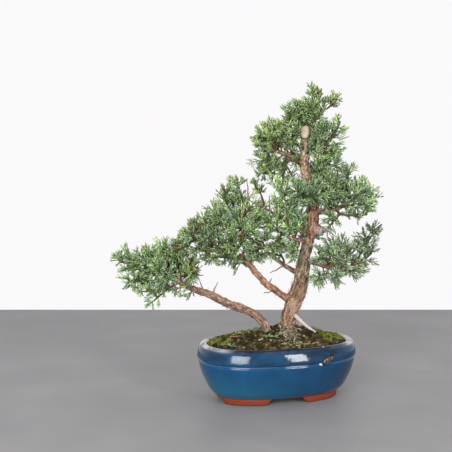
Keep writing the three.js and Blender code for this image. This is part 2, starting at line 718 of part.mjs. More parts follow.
function takeCurve(curve, steps, radiusAt, marks) {
  const points = curve.getSpacedPoints(steps);
  for (let i = 0; i < steps; i++) take(points[i], points[i + 1], radiusAt((i + 0.5) / steps), marks);
}

// The four corners of a square about a centre, anticlockwise seen against the direction.
function squareAround(centre, direction, side, half) {
  const up = direction.clone().cross(side);
  return [[-1, -1], [1, -1], [1, 1], [-1, 1]].map(([across, along]) =>
    centre
      .clone()
      .addScaledVector(side, across * half)
      .addScaledVector(up, along * half),
  );
}

function cornersAround(centre, direction, half) {
  const side = FIRST_SIDE.clone().cross(direction).normalize();
  return squareAround(centre, direction, side, half);
}

// A skin of four-sided faces that grows by drawing a face out into a stretch or into a point.
class GrowingSkin {
  points = [];
  faces = [];

  constructor(centre, direction, half) {
    this.end = this.add(cornersAround(centre, direction, half));
    this.faces.push({ corners: [...this.end].reverse() });
  }

  add(places) {
    return places.map((place) => this.points.push(place) - 1);
  }

  middle(corners) {
    const sum = new THREE.Vector3();
    for (const corner of corners) sum.add(this.points[corner]);
    return sum.multiplyScalar(0.25);
  }

  normal([a, b, c, d]) {
    const across = this.points[c].clone().sub(this.points[a]);
    return across.cross(this.points[d].clone().sub(this.points[b])).normalize();
  }

  // Draws a face out to a new centre, and gives the four new side faces and the new end.
  draw([a, b, c, d], centre, direction, half) {
    const side = this.points[b].clone().sub(this.points[a]);
    side.add(this.points[c]).sub(this.points[d]);
    side.addScaledVector(direction, -side.dot(direction)).normalize();
    const [e, f, g, h] = this.add(squareAround(centre, direction, side, half));
    const sides = [
      [a, b, f, e],
      [b, c, g, f],
      [c, d, h, g],
      [d, a, e, h],
    ].map((corners) => ({ corners }));
    this.faces.push(...sides);
    return { sides, end: [e, f, g, h] };
  }

  // Closes an end with a face of its own.
  close(corners) {
    const face = { corners };
    this.faces.push(face);
    return face;
  }

  point(face, apex) {
    face.apex = this.points.push(apex) - 1;
  }

  trianglesOf({ corners: [a, b, c, d], apex, drawn }) {
    if (drawn) return [];
    if (apex === undefined) return [[a, b, c], [a, c, d]];
    return [[a, b, apex], [b, c, apex], [c, d, apex], [d, a, apex]];
  }

  geometry() {
    return skinOf(this.points, this.faces.flatMap((face) => this.trianglesOf(face)));
  }
}

// Draws an open face out to a pointed shoot, if the way is clear.
function growShoot(skin, { face, axis, length, marks }, draw) {
  const root = skin.middle(face.corners);
  const lean = SHOOT_LEAN + SHOOT_VARIES * (draw() - 0.5);
  const direction = skin.normal(face.corners).addScaledVector(axis, lean);
  direction.z += LIFT;
  direction.normalize();
  const varied = length * (1 + SHOOT_VARIES * (draw() - 0.5));
  for (const share of SHOOT_SHARES) {
    const apex = root.clone().addScaledVector(direction, varied * share);
    const outer = root.clone().lerp(apex, 0.5);
    const near = (other) => other.bunch === marks.bunch && other.sprig === marks.sprig;
    const clear =
      isClear(root, apex, SHOOT_RADIUS, near) && isClear(outer, apex, SHOOT_RADIUS, () => false);
    if (clear) {
      skin.point(face, apex);
      take(root, apex, SHOOT_RADIUS, marks);
      return;
    }
  }
}

// Draws a knot's side face out to a sprig, if a clear way is found. Gives its open faces.
function growSprig(skin, face, axis, size, forward, draw, marks) {
  const root = skin.middle(face.corners);
  const outward = skin.normal(face.corners);
  for (let attempt = 0; attempt < SPRIG_ATTEMPTS; attempt++) {
    const sway = new THREE.Vector3(draw() - 0.5, draw() - 0.5, draw() - 0.5);
    const direction = outward
      .clone()
      .addScaledVector(axis, forward)
      .addScaledVector(sway, SPRIG_SWAY * (1 + SWAY_GROWTH * attempt));
    direction.z += LIFT;
    direction.normalize();
    const shrunk = size * (1 - SPRIG_SHRINK * attempt);
    const knee = root.clone().addScaledVector(direction, SPRIG_KNOT * shrunk);
    const onward = direction.clone().add(new THREE.Vector3(0, 0, LIFT)).normalize();
    const end = knee.clone().addScaledVector(onward, SPRIG_KNOT * shrunk);
    const point = end.clone().addScaledVector(onward, SPRIG_WAY * SHOOT_LENGTH * shrunk);
    const onStem = (other) => other.bunch === marks.bunch && other.sprig === marks.stem;
    const clear =
      isClear(root, knee, SPRIG_HALF, onStem) &&
      isClear(knee, end, SPRIG_HALF, () => false) &&
      isClear(end, point, SHOOT_RADIUS, () => false);
    if (!clear) continue;
    face.drawn = true;
    const first = skin.draw(face.corners, knee, direction, SPRIG_HALF);
    const second = skin.draw(first.end, end, onward, SPRIG_HALF);
    take(root, knee, SPRIG_HALF, marks);
    take(knee, end, SPRIG_HALF, marks);
    const length = SHOOT_LENGTH * shrunk;
    const tip = { face: skin.close(second.end), axis: onward, length, marks };
    return [tip, ...[...second.sides, ...first.sides].map((side) => ({ ...tip, face: side }))];
  }
  return [];
}

// The curve of a stem from its root to its tip, bent clear of what is taken.
function stemCurve(root, direction, tip, skip) {
  const length = root.distanceTo(tip);
  const aim = tip.clone().sub(root).normalize();
  const side = aim.clone().cross(new THREE.Vector3(0, 0, 1)).normalize();
  const up = side.clone().cross(aim);
  const curves = STEM_BENDS.map(([across, along]) => {
    const control = root
      .clone()
      .addScaledVector(direction, length * STEM_LAUNCH)
      .addScaledVector(side, across * length)
      .addScaledVector(up, along * length);
    return new THREE.QuadraticBezierCurve3(root, control, tip);
  });
  const blocked = (curve) => {
    const points = curve.getPoints(STEM_TRIALS);
    return points
      .slice(2)
      .filter((point, i) => !isClear(points[i + 1], point, STEM_HALF, skip)).length;
  };
  return curves.reduce((best, curve) => (blocked(curve) < blocked(best) ? curve : best));
}

// Draws a stem out along its curve. Gives its knots and its open end.
function drawStem(skin, start, curve, marks) {
  const length = curve.getLength();
  const steps = Math.max(2, Math.round(length / STEM_STEP));
  const knots = [];
  let end = start;
  let before = curve.getPoint(0);
  const drawTo = (share) => {
    const centre = curve.getPointAt(share);
    const axis = curve.getTangentAt(share);
    const half = THREE.MathUtils.lerp(STEM_HALF, STEM_END_HALF, share);
    const drawn = skin.draw(end, centre, axis, half);
    take(before, centre, half * STEM_ROOM, marks);
    before = centre;
    end = drawn.end;
    return { sides: drawn.sides, axis, share };
  };
  for (let i = 1; i <= steps; i++) {
    drawTo(i / steps - STEM_KNOT / length);
    knots.push(drawTo(i / steps));
  }
  return { knots, end: skin.close(end) };
}

// A bunch's bare wood: its foot, a knot at its root, its first stem out of that knot's end
// and the others out of its sides.
function startBunch(name, bunch, { start, direction }) {
  const root = vector(bunch.root);
  const skin = new GrowingSkin(start, direction, STEM_HALF);
  const onward = vector(bunch.tips[0]).sub(root).normalize().add(direction).normalize();
  const foot = skin.draw(skin.end, root, onward, STEM_HALF);
  const hubEnd = root.clone().addScaledVector(onward, STEM_KNOT);
  const hub = skin.draw(foot.end, hubEnd, onward, STEM_HALF);
  const own = (other) => other.bunch === name;
  take(root, hubEnd, STEM_HALF, { bunch: name, sprig: "hub" });
  const stems = bunch.tips.map(([x, y, z, reach], number) => {
    const tip = new THREE.Vector3(x, y, z);
    const marks = { bunch: name, sprig: `stem${number}` };
    if (number === 0) {
      const curve = stemCurve(hubEnd, onward, tip, own);
      return { ...drawStem(skin, hub.end, curve, marks), reach, marks };
    }
    const aim = tip.clone().sub(root);
    const fit = (side) => skin.normal(side.corners).dot(aim);
    const free = hub.sides.filter((side) => !side.drawn);
    const side = free.reduce((best, other) => (fit(other) > fit(best) ? other : best));
    side.drawn = true;
    const curve = stemCurve(skin.middle(side.corners), skin.normal(side.corners), tip, own);
    return { ...drawStem(skin, side.corners, curve, marks), reach, marks };
  });
  return { skin, stems };
}

// Grows one sprig on each knot of a stem, and gives all faces that shoots may grow from.
function growSprigs(skin, { knots, end, reach, marks }, draw) {
  const full = reach / FULL_REACH;
  const length = SHOOT_LENGTH * full;
  const open = [{ face: end, axis: knots.at(-1).axis, length: END_STRETCH * length, marks }];
  const turn = Math.floor(draw() * 4);
  knots.forEach(({ sides, axis, share }, i) => {
    const size = full * THREE.MathUtils.lerp(...SPRIG_SIZES, share);
    const forward = THREE.MathUtils.lerp(...SPRIG_LEANS, share);
    for (const step of [0, 2, 1, 3]) {
      const side = sides[(turn + i + step) % 4];
      const sprig = { bunch: marks.bunch, stem: marks.sprig, sprig: `${marks.sprig}_${i}` };
      const grown = growSprig(skin, side, axis, size, forward, draw, sprig);
      open.push(...grown);
      if (grown.length > 0) break;
    }
    for (const face of sides.filter((side) => !side.drawn)) open.push({ face, axis, length, marks });
  });
  return open;
}

// Whether the straight line between two points passes through the inside of a triangle.
function pierces(from, to, [a, b, c]) {
  const along = to.clone().sub(from);
  const edge = b.clone().sub(a);
  const other = c.clone().sub(a);
  const cross = along.clone().cross(other);
  const scale = edge.dot(cross);
  if (Math.abs(scale) < 1e-10) return false;
  const offset = from.clone().sub(a);
  const u = offset.dot(cross) / scale;
  const turned = offset.cross(edge);
  const v = along.dot(turned) / scale;
  const t = other.dot(turned) / scale;
  return u > 0 && v > 0 && u + v < 1 && t > 0 && t < 1;
}

// Whether an edge of either triangle passes through the other.
function trianglesCross(one, other) {
  const edgePierces = (points, triangle) =>
    points.some((from, i) => {
      const to = points[(i + 1) % 3];
      return !triangle.includes(from) && !triangle.includes(to) && pierces(from, to, triangle);
    });
  return edgePierces(one, other) || edgePierces(other, one);
}

// Takes back the shoots that pass through another face. Fixed are the triangles that stay.
function pruneShoots(skins, fixed) {
  const all = fixed.map((triangle) => ({ triangle }));
  for (const skin of skins) {
    for (const face of skin.faces) {
      for (const numbers of skin.trianglesOf(face)) {
        all.push({ triangle: numbers.map((number) => skin.points[number]), face });
      }
    }
  }
  for (const entry of all) entry.box = new THREE.Box3().setFromPoints(entry.triangle);
  all.sort((one, other) => one.box.min.x - other.box.min.x);
  const pointed = ({ face }) => face !== undefined && face.apex !== undefined;
  all.forEach((one, i) => {
    for (let j = i + 1; j < all.length && all[j].box.min.x <= one.box.max.x; j++) {
      const other = all[j];
      if (!pointed(one) && !pointed(other)) continue;
      if (!one.box.intersectsBox(other.box) || !trianglesCross(one.triangle, other.triangle)) continue;
      (pointed(other) ? other : one).face.apex = undefined;
    }
  });
}

function trianglesIn(geometry) {
  const { position } = geometry.attributes;
  const points = Array.from({ length: position.count }, (_, i) =>
    new THREE.Vector3().fromBufferAttribute(position, i),
  );
  const corners = Array.from(geometry.index.array, (number) => points[number]);
  return Array.from({ length: corners.length / 3 }, (_, i) => corners.slice(3 * i, 3 * i + 3));
}

const tree = new THREE.Group();

function addPiece(name, geometry, color, roughness, turn = 0) {
  const material = new THREE.MeshStandardMaterial({ color, roughness, metalness: 0 });
  const mesh = new THREE.Mesh(geometry, material);
  mesh.name = name;
  mesh.rotation.z = turn;
  tree.add(mesh);
  return mesh;
}

addPiece("pot", makePot(), 0x2a5f86, 0.18, POT_TURN);
const standing = [
  makeTrunk(SEAT_GAP),
  makeNamedLimb("low", SEAT_GAP),
  makeNamedLimb("dead_root", SEAT_GAP),
];
addPiece("soil", makeSoil(standing), 0x3d2f26, 0.95, POT_TURN);
for (const [i, x] of drainPlaces().entries()) {
  const screen = addPiece(`drain_screen_${i + 1}`, makeScreen(), 0x2b2d2c, 0.7, POT_TURN);
  screen.position.set(x * Math.cos(POT_TURN), x * Math.sin(POT_TURN), FLOOR_TOP + SEAT_GAP);
}

// All the wood is one piece: trunk, limbs, stubs and the twigs that carry the bunches.
let wood = solidOf(makeTrunk(0));
takeCurve(curveOf(TRUNK), TRUNK_STRETCHES, (u) => radiusAlong(TRUNK, u) * TRUNK_ROOM, { bunch: "wood" });
for (const [name, route] of Object.entries(LIMBS)) {
  wood = wood.add(solidOf(makeNamedLimb(name)));
  takeCurve(curveOf(route), LIMB_STRETCHES, (u) => radiusAlong(route, u), { bunch: "wood" });
}
for (const cut of Object.values(CUTS)) {
  wood = wood.add(solidOf(makeStub(cut)));
  const outside = vector(cut.at).addScaledVector(vector(cut.facing).normalize(), PASTE_THICKNESS);
  take(vector(cut.at), outside, cut.oval[1], { bunch: "wood" });
}
for (const [root, tip] of BARE_TWIGS) {
  const route = [[...root, BARE_ROOT], [...tip, BARE_TIP]];
  wood = wood.add(solidOf(makeLimb(route, 4, 1)));
  take(vector(root), vector(tip), BARE_ROOT, { bunch: "wood" });
}
const solids = [geometryOf(wood)];
addPiece("wood", solids[0], BARK, 0.85);
for (const [name, cut] of Object.entries(CUTS)) {
  const paste = makePaste(cut);
  solids.push(paste);
  addPiece(`cut_paste_${name}`, paste, 0xd8c4b4, 0.6);
}

const seats = Object.entries(BUNCHES).map(([name, bunch]) => {
  const seat = findSeat(bunch);
  take(seat.start, vector(bunch.root), STEM_HALF * STEM_ROOM, { bunch: name, sprig: "foot" });
  return seat;
});
const bunches = Object.entries(BUNCHES).map(([name, bunch], i) => ({
  name,
  draw: seededDraw(1000 + 37 * i),
  ...startBunch(name, bunch, seats[i]),
}));
for (const bunch of bunches) {
  bunch.open = bunch.stems.flatMap((stem) => growSprigs(bunch.skin, stem, bunch.draw));
}
for (const { skin, open, draw } of bunches) {
  for (const shoot of open) growShoot(skin, shoot, draw);
}
pruneShoots(bunches.map(({ skin }) => skin), solids.flatMap(trianglesIn));
bunches.forEach(({ name, skin }, i) => {
  addPiece(`spray_${name}`, skin.geometry(), GREENS[i % GREENS.length], 0.75);
});

const bounds = new THREE.Box3().setFromObject(tree, true);
const middle = bounds.getCenter(new THREE.Vector3());
tree.position.set(-middle.x, -middle.y, -bounds.min.z);

const group = new THREE.Group();
group.add(tree);
export default group;
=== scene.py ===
import math
from itertools import product

import bmesh
import bpy
import numpy as np
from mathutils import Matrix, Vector
from mathutils.bvhtree import BVHTree


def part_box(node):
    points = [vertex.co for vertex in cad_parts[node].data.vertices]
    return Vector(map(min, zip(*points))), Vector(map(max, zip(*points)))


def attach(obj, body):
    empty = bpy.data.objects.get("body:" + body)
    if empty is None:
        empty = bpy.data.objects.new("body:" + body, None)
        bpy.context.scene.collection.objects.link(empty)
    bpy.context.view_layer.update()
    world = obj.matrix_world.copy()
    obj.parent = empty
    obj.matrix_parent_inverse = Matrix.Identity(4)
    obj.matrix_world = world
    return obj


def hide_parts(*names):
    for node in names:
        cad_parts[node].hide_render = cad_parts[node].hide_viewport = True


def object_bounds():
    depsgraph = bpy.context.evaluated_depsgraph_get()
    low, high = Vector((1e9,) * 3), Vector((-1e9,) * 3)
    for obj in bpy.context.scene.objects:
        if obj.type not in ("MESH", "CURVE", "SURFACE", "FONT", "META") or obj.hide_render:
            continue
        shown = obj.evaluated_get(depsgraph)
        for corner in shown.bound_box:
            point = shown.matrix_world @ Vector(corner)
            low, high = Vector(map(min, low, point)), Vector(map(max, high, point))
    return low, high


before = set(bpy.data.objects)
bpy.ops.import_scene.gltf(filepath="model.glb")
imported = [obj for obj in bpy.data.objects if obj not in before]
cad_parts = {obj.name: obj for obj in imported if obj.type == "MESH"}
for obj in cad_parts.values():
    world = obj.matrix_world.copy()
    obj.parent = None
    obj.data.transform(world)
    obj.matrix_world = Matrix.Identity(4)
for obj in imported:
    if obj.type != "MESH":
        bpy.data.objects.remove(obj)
cad_low, cad_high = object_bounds()

MM = 0.001
GROUND = -2.0  # the height on which the pot's feet stand
pot_low, pot_high = (np.array(corner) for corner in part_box("pot"))
ORIGIN = np.array([*((pot_low + pot_high) / 2)[:2], pot_low[2] - GROUND * MM])

# The camera, from the photograph: its place about the pot, its tilt and its focal length.
CAMERA_AT = (-51.7, -900.0, 248.7)
CAMERA_DOWN = math.radians(4.87)
CAMERA_LENS = 71.7
SENSOR = 36.0
# The table: how far it reaches to the sides, where its far edge is, and how far under the feet it is.
FLOOR_REACH = 3000.0
TABLE_END = 497.0
FLOOR_GAP = 0.2

# Where the random draws start, so that every run gives the same plant.
SEEDS = {
    "trunk": 11, "limbs": 23, "twigs": 71, "stubs": 91, "pastes": 101,
    "grains": 211, "moss": 223, "litter": 241, "fallen": 263, "sprays": 400, "leafy_twigs": 500,
}

# The pot: the half sizes and the power of its rim's oval, and how far it is turned; its two drainage
# holes; and the heights at which the glaze ends and the feet begin.
RIM_HALF_LENGTH = 77.7
RIM_HALF_WIDTH = 48.0
OVAL_POWER = 2.4
OVAL_STEPS = 168
POT_TURN = math.radians(16)
DRAIN_RADIUS = 8.0
DRAIN_SPACING = 64.0
DRILL_LENGTH = 40.0
GLAZE_END = 4.6
FOOT_TOP = 4.5
# Its section, as the inset from the rim's oval and the height: from the middle of the underside, up
# the outside, over the rim, and down to the middle of the floor.
POT_SECTION = [
    (40.0, 4.5), (20.0, 4.5), (14.2, 4.5), (12.6, 5.6), (10.6, 7.6), (8.0, 10.5), (3.7, 18.5),
    (0.4, 26.5), (-1.4, 32.5), (-2.4, 37.2), (-2.7, 38.6), (-2.2, 39.5), (-1.3, 40.3),
    (-2.0, 41.0), (-3.5, 41.7), (-3.9, 42.8), (-3.6, 45.5), (-3.1, 48.5), (-2.2, 51.3),
    (-1.1, 53.6), (0.1, 55.4), (1.8, 56.2), (3.6, 56.3), (5.1, 55.8), (6.1, 54.6), (6.5, 52.0),
    (6.6, 40.0), (8.0, 28.0), (11.5, 18.0), (15.5, 12.5), (22.0, 10.5), (40.0, 10.5),
]
# Its feet: where they start and end round the oval, in degrees, the share of a foot's half that is
# flat below, how far in they stand, how deep they are, how much they lean, and their rows of points.
FOOT_SPANS = [(12.5, 80.5), (99.5, 167.5), (192.5, 260.5), (279.5, 347.5)]
FOOT_FLAT = 0.72
FOOT_INSET = 14.2
FOOT_DEPTH = 9.0
FOOT_BATTER = 1.6
FOOT_STEPS = 56

# The soil: its height at the wall, the mound over that, the collar round the trunk's foot, and how
# many grains and blades of moss are strewn on it.
SOIL_STEPS = 260
SOIL_EDGE = 54.0
SOIL_INSET = 6.4
MOUND_RISE = 12.0
MOUND_POWER = 1.8
MOUND_INSET = 6.1
COLLAR_RISE = 7.5
COLLAR_REACH = 20.0
TRUNK_FOOT = (12.5, 0.0)
TRUNK_CLEARANCE = 8
GRAINS = 850
MOSS_BLADES = 17000
# Where it meets the pot's inside under its surface, as inset and height.
SOIL_WALL = [(8.4, 28.0), (6.95, 40.0), (6.9, 52.0)]

# The trunk and the limbs, as points of x, y, z and radius.
TRUNK = [
    (10.5, 0, 56, 7.6), (11, 0, 70.5, 7.1), (12, 0, 81.5, 7), (16, 0, 93.5, 8.1),
    (21.5, 0, 107, 8.1), (24.5, 0.5, 119, 7.2), (26, 1, 130.5, 6.7), (27, 2, 141.5, 5.8),
    (30.5, 3, 152.5, 5.9), (32.5, 3.5, 162.5, 5.7), (33.5, 3.5, 173, 7.4), (34.5, 3.5, 183, 7.3),
    (36.5, 4, 193, 6), (37.5, 4.5, 202, 5), (34.5, 4.5, 211, 4.8), (30, 4, 219, 4.7),
    (27.5, 3, 228, 4.7), (26.5, 2, 238, 4.8), (27.5, 1, 248, 4.5), (28, 0.5, 257, 4.4),
    (27.5, 0.5, 264, 4.2),
]
LIMBS = {
    "low": [
        (10, -3, 57, 3.8), (0, -6, 58, 3.8), (-8, -6.5, 63, 3.8), (-13, -6.5, 73, 3.8),
        (-19, -6.5, 80.5, 3.9), (-27.5, -6.5, 86, 3.9), (-37.5, -6.5, 90, 4), (-49, -6, 94, 4),
        (-60, -6, 99.5, 3.8), (-71, -5, 104.5, 3.5), (-80, -4, 107, 3.2), (-89, -3, 110.5, 3),
        (-98, -2, 116, 2.7), (-106, -1, 122, 2.3), (-111, 0, 129, 1.8),
    ],
    "middle": [
        (16, 0, 98, 4.6), (11, -2, 99, 4), (3, -5, 103.5, 3.6), (-4, -8, 109.5, 3.3),
        (-12, -10, 115, 3.2), (-17.5, -11, 121.5, 3.1), (-23.5, -12, 128, 3),
        (-28.5, -12, 134.5, 2.9), (-38, -11, 140, 2.6), (-48, -10, 143.5, 2.4),
        (-58, -9, 146.5, 2.2), (-68, -8, 150.5, 2), (-75, -8, 155, 1.7), (-79, -8, 158, 1.4),
    ],
    "rear": [
        (24, 2, 124, 2.8), (18, 4, 125.5, 2.6), (11, 6, 129.5, 2.3), (3, 8, 134.5, 2.1),
        (-5, 10, 140.5, 1.9), (-12.5, 11, 147, 1.7), (-22, 12, 156, 1.4),
    ],
    "thin": [
        (32, 0, 165, 2.6), (25, -3, 166, 2.3), (16.5, -4, 173, 2), (6.5, -4, 179, 1.7),
        (-2.5, -3, 184, 1.5), (-11.5, -2, 189, 1.3), (-20, -1, 193, 1.1),
    ],
    "centre": [(31, 2, 157, 2.8), (24, -5, 158, 2.2), (16, -10, 160, 1.7), (9, -11.5, 162.5, 1.3)],
    "inner": [(36, 4, 190, 2.8), (28, -2, 195, 2), (21, -5, 198, 1.4)],
    "front": [(36, 3, 187, 2.8), (33, -7, 192, 2), (29, -14, 197, 1.3)],
    "right": [
        (36, 4, 187, 3.6), (44, 1, 186.5, 3.1), (52, -1, 187, 2.7), (60, -2, 190, 2.3),
        (68, -3, 194, 1.9), (73, -3, 197.5, 1.5), (77, -3, 200, 1.3),
    ],
    "low_right": [
        (27, 2, 138, 3.2), (34, -1, 136, 2.7), (43, -4, 133.5, 2.3), (52, -5, 131, 2),
        (62, -5, 129.5, 1.7), (71, -4, 131, 1.4), (75, -3, 133.5, 1.3),
    ],
    "low_back": [(28, 3, 147, 3), (30, 12, 151, 2.2), (29, 24, 157, 1.7), (26, 33, 162, 1.3)],
    "mid_back": [(37, 5, 198, 2.8), (41, 14, 201, 2.1), (43, 25, 206, 1.6), (42, 31, 210, 1.3)],
    "crown_left": [
        (28, 2, 229, 3.4), (19, 0, 238, 2.9), (8, -2, 243, 2.3), (-2, -3, 247, 1.9),
        (-7, -4, 249, 1.6), (-11, -4, 253, 1.3),
    ],
    "crown_right": [(28, 1, 243, 2.7), (36, -1, 248, 2.1), (44, -3, 251, 1.7), (50, -3, 255, 1.3)],
    "crown_back": [(27, 2, 240, 2.5), (28, 11, 246, 1.9), (27, 18, 252, 1.3)],
    "leader": [(28, 1, 250, 2.9), (31, 3, 262, 2.4), (35, 4, 272, 1.8), (37.5, 3.5, 281, 1.4)],
    "dead_root": [(14, -2, 85, 1.8), (20, -5, 80, 1.9), (27, -8, 73.5, 1.7), (38, -12, 66.5, 0.6)],
}
# Bare dead twigs, from root to tip, and how thick they are at both.
TWIG_HALVES = (0.95, 0.4)
BARE_TWIGS = [
    [(-19, -1, 192.5), (-30, 1, 199)],
    [(-28.5, 0.7, 198), (-31, 0, 218)],
    [(-14, -1.5, 190.5), (-18, -8, 205)],
    [(-8, -2, 187.5), (-9, -7, 203)],
    [(0, -3, 182.5), (0, 4, 196)],
    [(4, -4, 180), (-12, -9, 173)],
    [(-2, -7, 108), (-14, -9, 105)],
    [(-9, -9, 113), (-6, -8, 120)],
    [(-66, -5.5, 101.5), (-60, -4, 116)],
    [(-74, -4.6, 106), (-79, -9.5, 121)],
    [(37, 6, 176), (59, 2, 161)],
    [(49.5, 3.7, 167.5), (52, 4, 157)],
    [(8, 7, 131.5), (-7, 4, 124)],
]
# The two pruning cuts: their middle, the way they face, their oval's half sizes and their stub's length.
CUTS = {
    "top": {"at": (26.5, -4.2, 265.5), "facing": (-0.3, -0.87, 0.38), "oval": (4.3, 6.6), "stub": 5},
    "side": {"at": (42.5, -1, 167), "facing": (0.84, -0.48, -0.25), "oval": (3.4, 4.6), "stub": 9},
}
# The wound paste: how thick it is, and how far from the cut's middle plane it starts.
PASTE_THICKNESS = 2.6
SEAT_GAP = 0.35

# Foliage: each shoot has a leading cord and side cords, and the longer side cords have end cords. The
# side and end shares are of the length of the cord that bears them.
CORD_HALF = 0.62
CORD_LIFT = np.array([0, 0, 0.1])
LEADER_STRETCH = (0.75, 1.5)
SIDE_CORDS = 5
SIDE_SHARE = 0.78
SIDE_ANGLE = 0.52
END_CORDS = 1
END_SHARE = 0.56
LONG_SIDE_CORD = 3.0
# How many shoots get another beside them, how far that one hangs, and how many shoots are dead.
FILL_SHARE = 0.45
LOW_DROOP = 0.3
USUAL_DROOP = -0.1
DEAD_SHARE = 0.01
SHORTEST_SHOOT = 2.5
# Leafy twigs straight on the wood: where along the limb they start and end, how many there are,
# how long they are, and the way they lean, if any.
LEAFY_TWIGS = {
    "low": (0.72, 1.0, 8, 11, None),
    "middle": (0.5, 1.0, 18, 13, None),
    "rear": (0.55, 1.0, 7, 12, None),
    "thin": (0.1, 0.45, 4, 9, None),
    "centre": (0.3, 1.0, 5, 11, None),
    "inner": (0.3, 1.0, 4, 10, None),
    "right": (0.2, 1.0, 14, 15, None),
    "low_right": (0.2, 1.0, 11, 13, None),
    "low_back": (0.4, 1.0, 4, 13, None),
    "mid_back": (0.4, 1.0, 4, 13, None),
    "crown_left": (0.15, 1.0, 13, 14, None),
    "crown_right": (0.1, 1.0, 10, 14, None),
    "crown_back": (0.2, 1.0, 4, 13, None),
    "leader": (0.1, 1.0, 9, 13, None),
    "trunk_middle": (0.64, 0.72, 10, 15, (0.1, -0.7, 0.35)),
    "trunk_top": (0.86, 1.0, 6, 12, (0.6, 0.1, 0.1)),
    "trunk_cut": (0.89, 0.94, 4, 9, (-0.25, -0.8, 0.1)),
}


def unit(vectors):
    """The same directions, one long."""
    vectors = np.asarray(vectors, float)
    return vectors / np.maximum(np.linalg.norm(vectors, axis=-1, keepdims=True), 1e-9)


def smoothstep(values, low, high):
    """From 0 at low to 1 at high, softly."""
    share = np.clip((np.asarray(values, float) - low) / (high - low), 0, 1)
    return share * share * (3 - 2 * share)


def mix(a, b, share):
    """From a to b, with a share for each row."""
    share = np.asarray(share, float)[..., None]
    return np.asarray(a, float) * (1 - share) + np.asarray(b, float) * share


def lattice(cells, seed):
    """A repeatable value from 0 to 1 at each whole-numbered place: its numbers' bits, well mixed."""
    mixed = cells[..., 0] * 73856093 ^ cells[..., 1] * 19349663 ^ cells[..., 2] * 83492791
    mixed = (mixed ^ (seed * 668265263)) & 0xFFFFFFFF
    mixed = ((mixed ^ (mixed >> 15)) * 2246822519) & 0xFFFFFFFF
    mixed = ((mixed ^ (mixed >> 13)) * 3266489917) & 0xFFFFFFFF
    return ((mixed ^ (mixed >> 16)) & 0xFFFFFF) / 0xFFFFFF


def noise(points, size, seed=0):
    """Smooth noise from -1 to 1, whose lumps are about so many millimetres wide."""
    places = np.asarray(points, float) / size
    cells = np.floor(places).astype(np.int64)
    inside = places - cells
    inside = inside * inside * (3 - 2 * inside)
    total = np.zeros(places.shape[:-1])
    for corner in product((0, 1), repeat=3):
        share = np.prod(np.where(corner, inside, 1 - inside), axis=-1)
        total += share * lattice(cells + np.array(corner), seed)
    return 2 * total - 1


def rough(points, size, seed=0, octaves=3):
    """Noise with finer noise on it."""
    total = 0
    for i in range(octaves):
        total = total + noise(points, size / 2**i, seed + 17 * i) / 2**i
    return total / (2 - 2 ** (1 - octaves))


def spots(points, size, seed, low, high):
    """Patches of rough noise: 0 where it is at low or less, 1 where it is at high or more."""
    return smoothstep(rough(points, size, seed), low, high)


def placed(name, data):
    """A new object in the scene with the data."""
    thing = bpy.data.objects.new(name, data)
    bpy.context.scene.collection.objects.link(thing)
    return thing


def shown(name, points, polygons, material, tint, along=None, sharp=False):
    """A mesh object in the row frame. polygons is a list of arrays, each with its own count of
    corners, tint a colour for each point and along a number for each."""
    mesh = bpy.data.meshes.new(name)
    points = np.asarray(points, float)
    mesh.vertices.add(len(points))
    mesh.vertices.foreach_set("co", (points * MM + ORIGIN).astype(np.float32).ravel())
    polygons = [np.asarray(group, int) for group in polygons if len(group)]
    corners = np.concatenate([group.ravel() for group in polygons])
    sizes = np.concatenate([np.full(len(group), group.shape[1]) for group in polygons])
    mesh.loops.add(len(corners))
    mesh.loops.foreach_set("vertex_index", corners.astype(np.int32))
    mesh.polygons.add(len(sizes))
    mesh.polygons.foreach_set("loop_start", (np.cumsum(sizes) - sizes).astype(np.int32))
    mesh.polygons.foreach_set("use_smooth", np.full(len(sizes), not sharp))
    mesh.update(calc_edges=True)
    colours = np.ones((len(points), 4), np.float32)
    colours[:, :3] = tint
    mesh.attributes.new("tint", "FLOAT_COLOR", "POINT").data.foreach_set("color", colours.ravel())
    if along is not None:
        layer = mesh.attributes.new("along", "FLOAT", "POINT")
        layer.data.foreach_set("value", np.asarray(along, np.float32))
    mesh.materials.append(material)
    piece = placed(name, mesh)
    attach(piece, "root")
    return piece


def mesh_arrays(mesh):
    """A mesh's points, and the points of its triangles."""
    places = np.zeros(len(mesh.vertices) * 3, np.float32)
    mesh.vertices.foreach_get("co", places)
    mesh.calc_loop_triangles()
    triangles = np.zeros(len(mesh.loop_triangles) * 3, np.int32)
    mesh.loop_triangles.foreach_get("vertices", triangles)
    return places.reshape(-1, 3), triangles.reshape(-1, 3)


def colour(red, green, blue):
    """A colour of 0 to 255 as a screen shows it, in the light's own numbers."""
    screen = np.array([red, green, blue], float) / 255
    return np.where(screen <= 0.04045, screen / 12.92, ((screen + 0.055) / 1.055) ** 2.4)


def plain_tint(tone, points):
    """One colour for all the points."""
    return np.repeat(tone[None], len(points), axis=0)


def grid_faces(rows, around):
    """Faces of a skin of rings of points."""
    row, place = np.meshgrid(np.arange(rows - 1), np.arange(around), indexing="ij")
    low = (row * around + place).ravel()
    low_next = (row * around + (place + 1) % around).ravel()
    return np.stack([low, low_next, low_next + around, low + around], axis=1)


def fan(hub, ring, flipped=False):
    """Triangles from a hub to each edge of a ring of points, turned over if they are flipped."""
    faces = np.stack([np.full(len(ring), hub), ring, np.roll(ring, -1)], axis=1)
    return faces[:, [0, 2, 1]] if flipped else faces


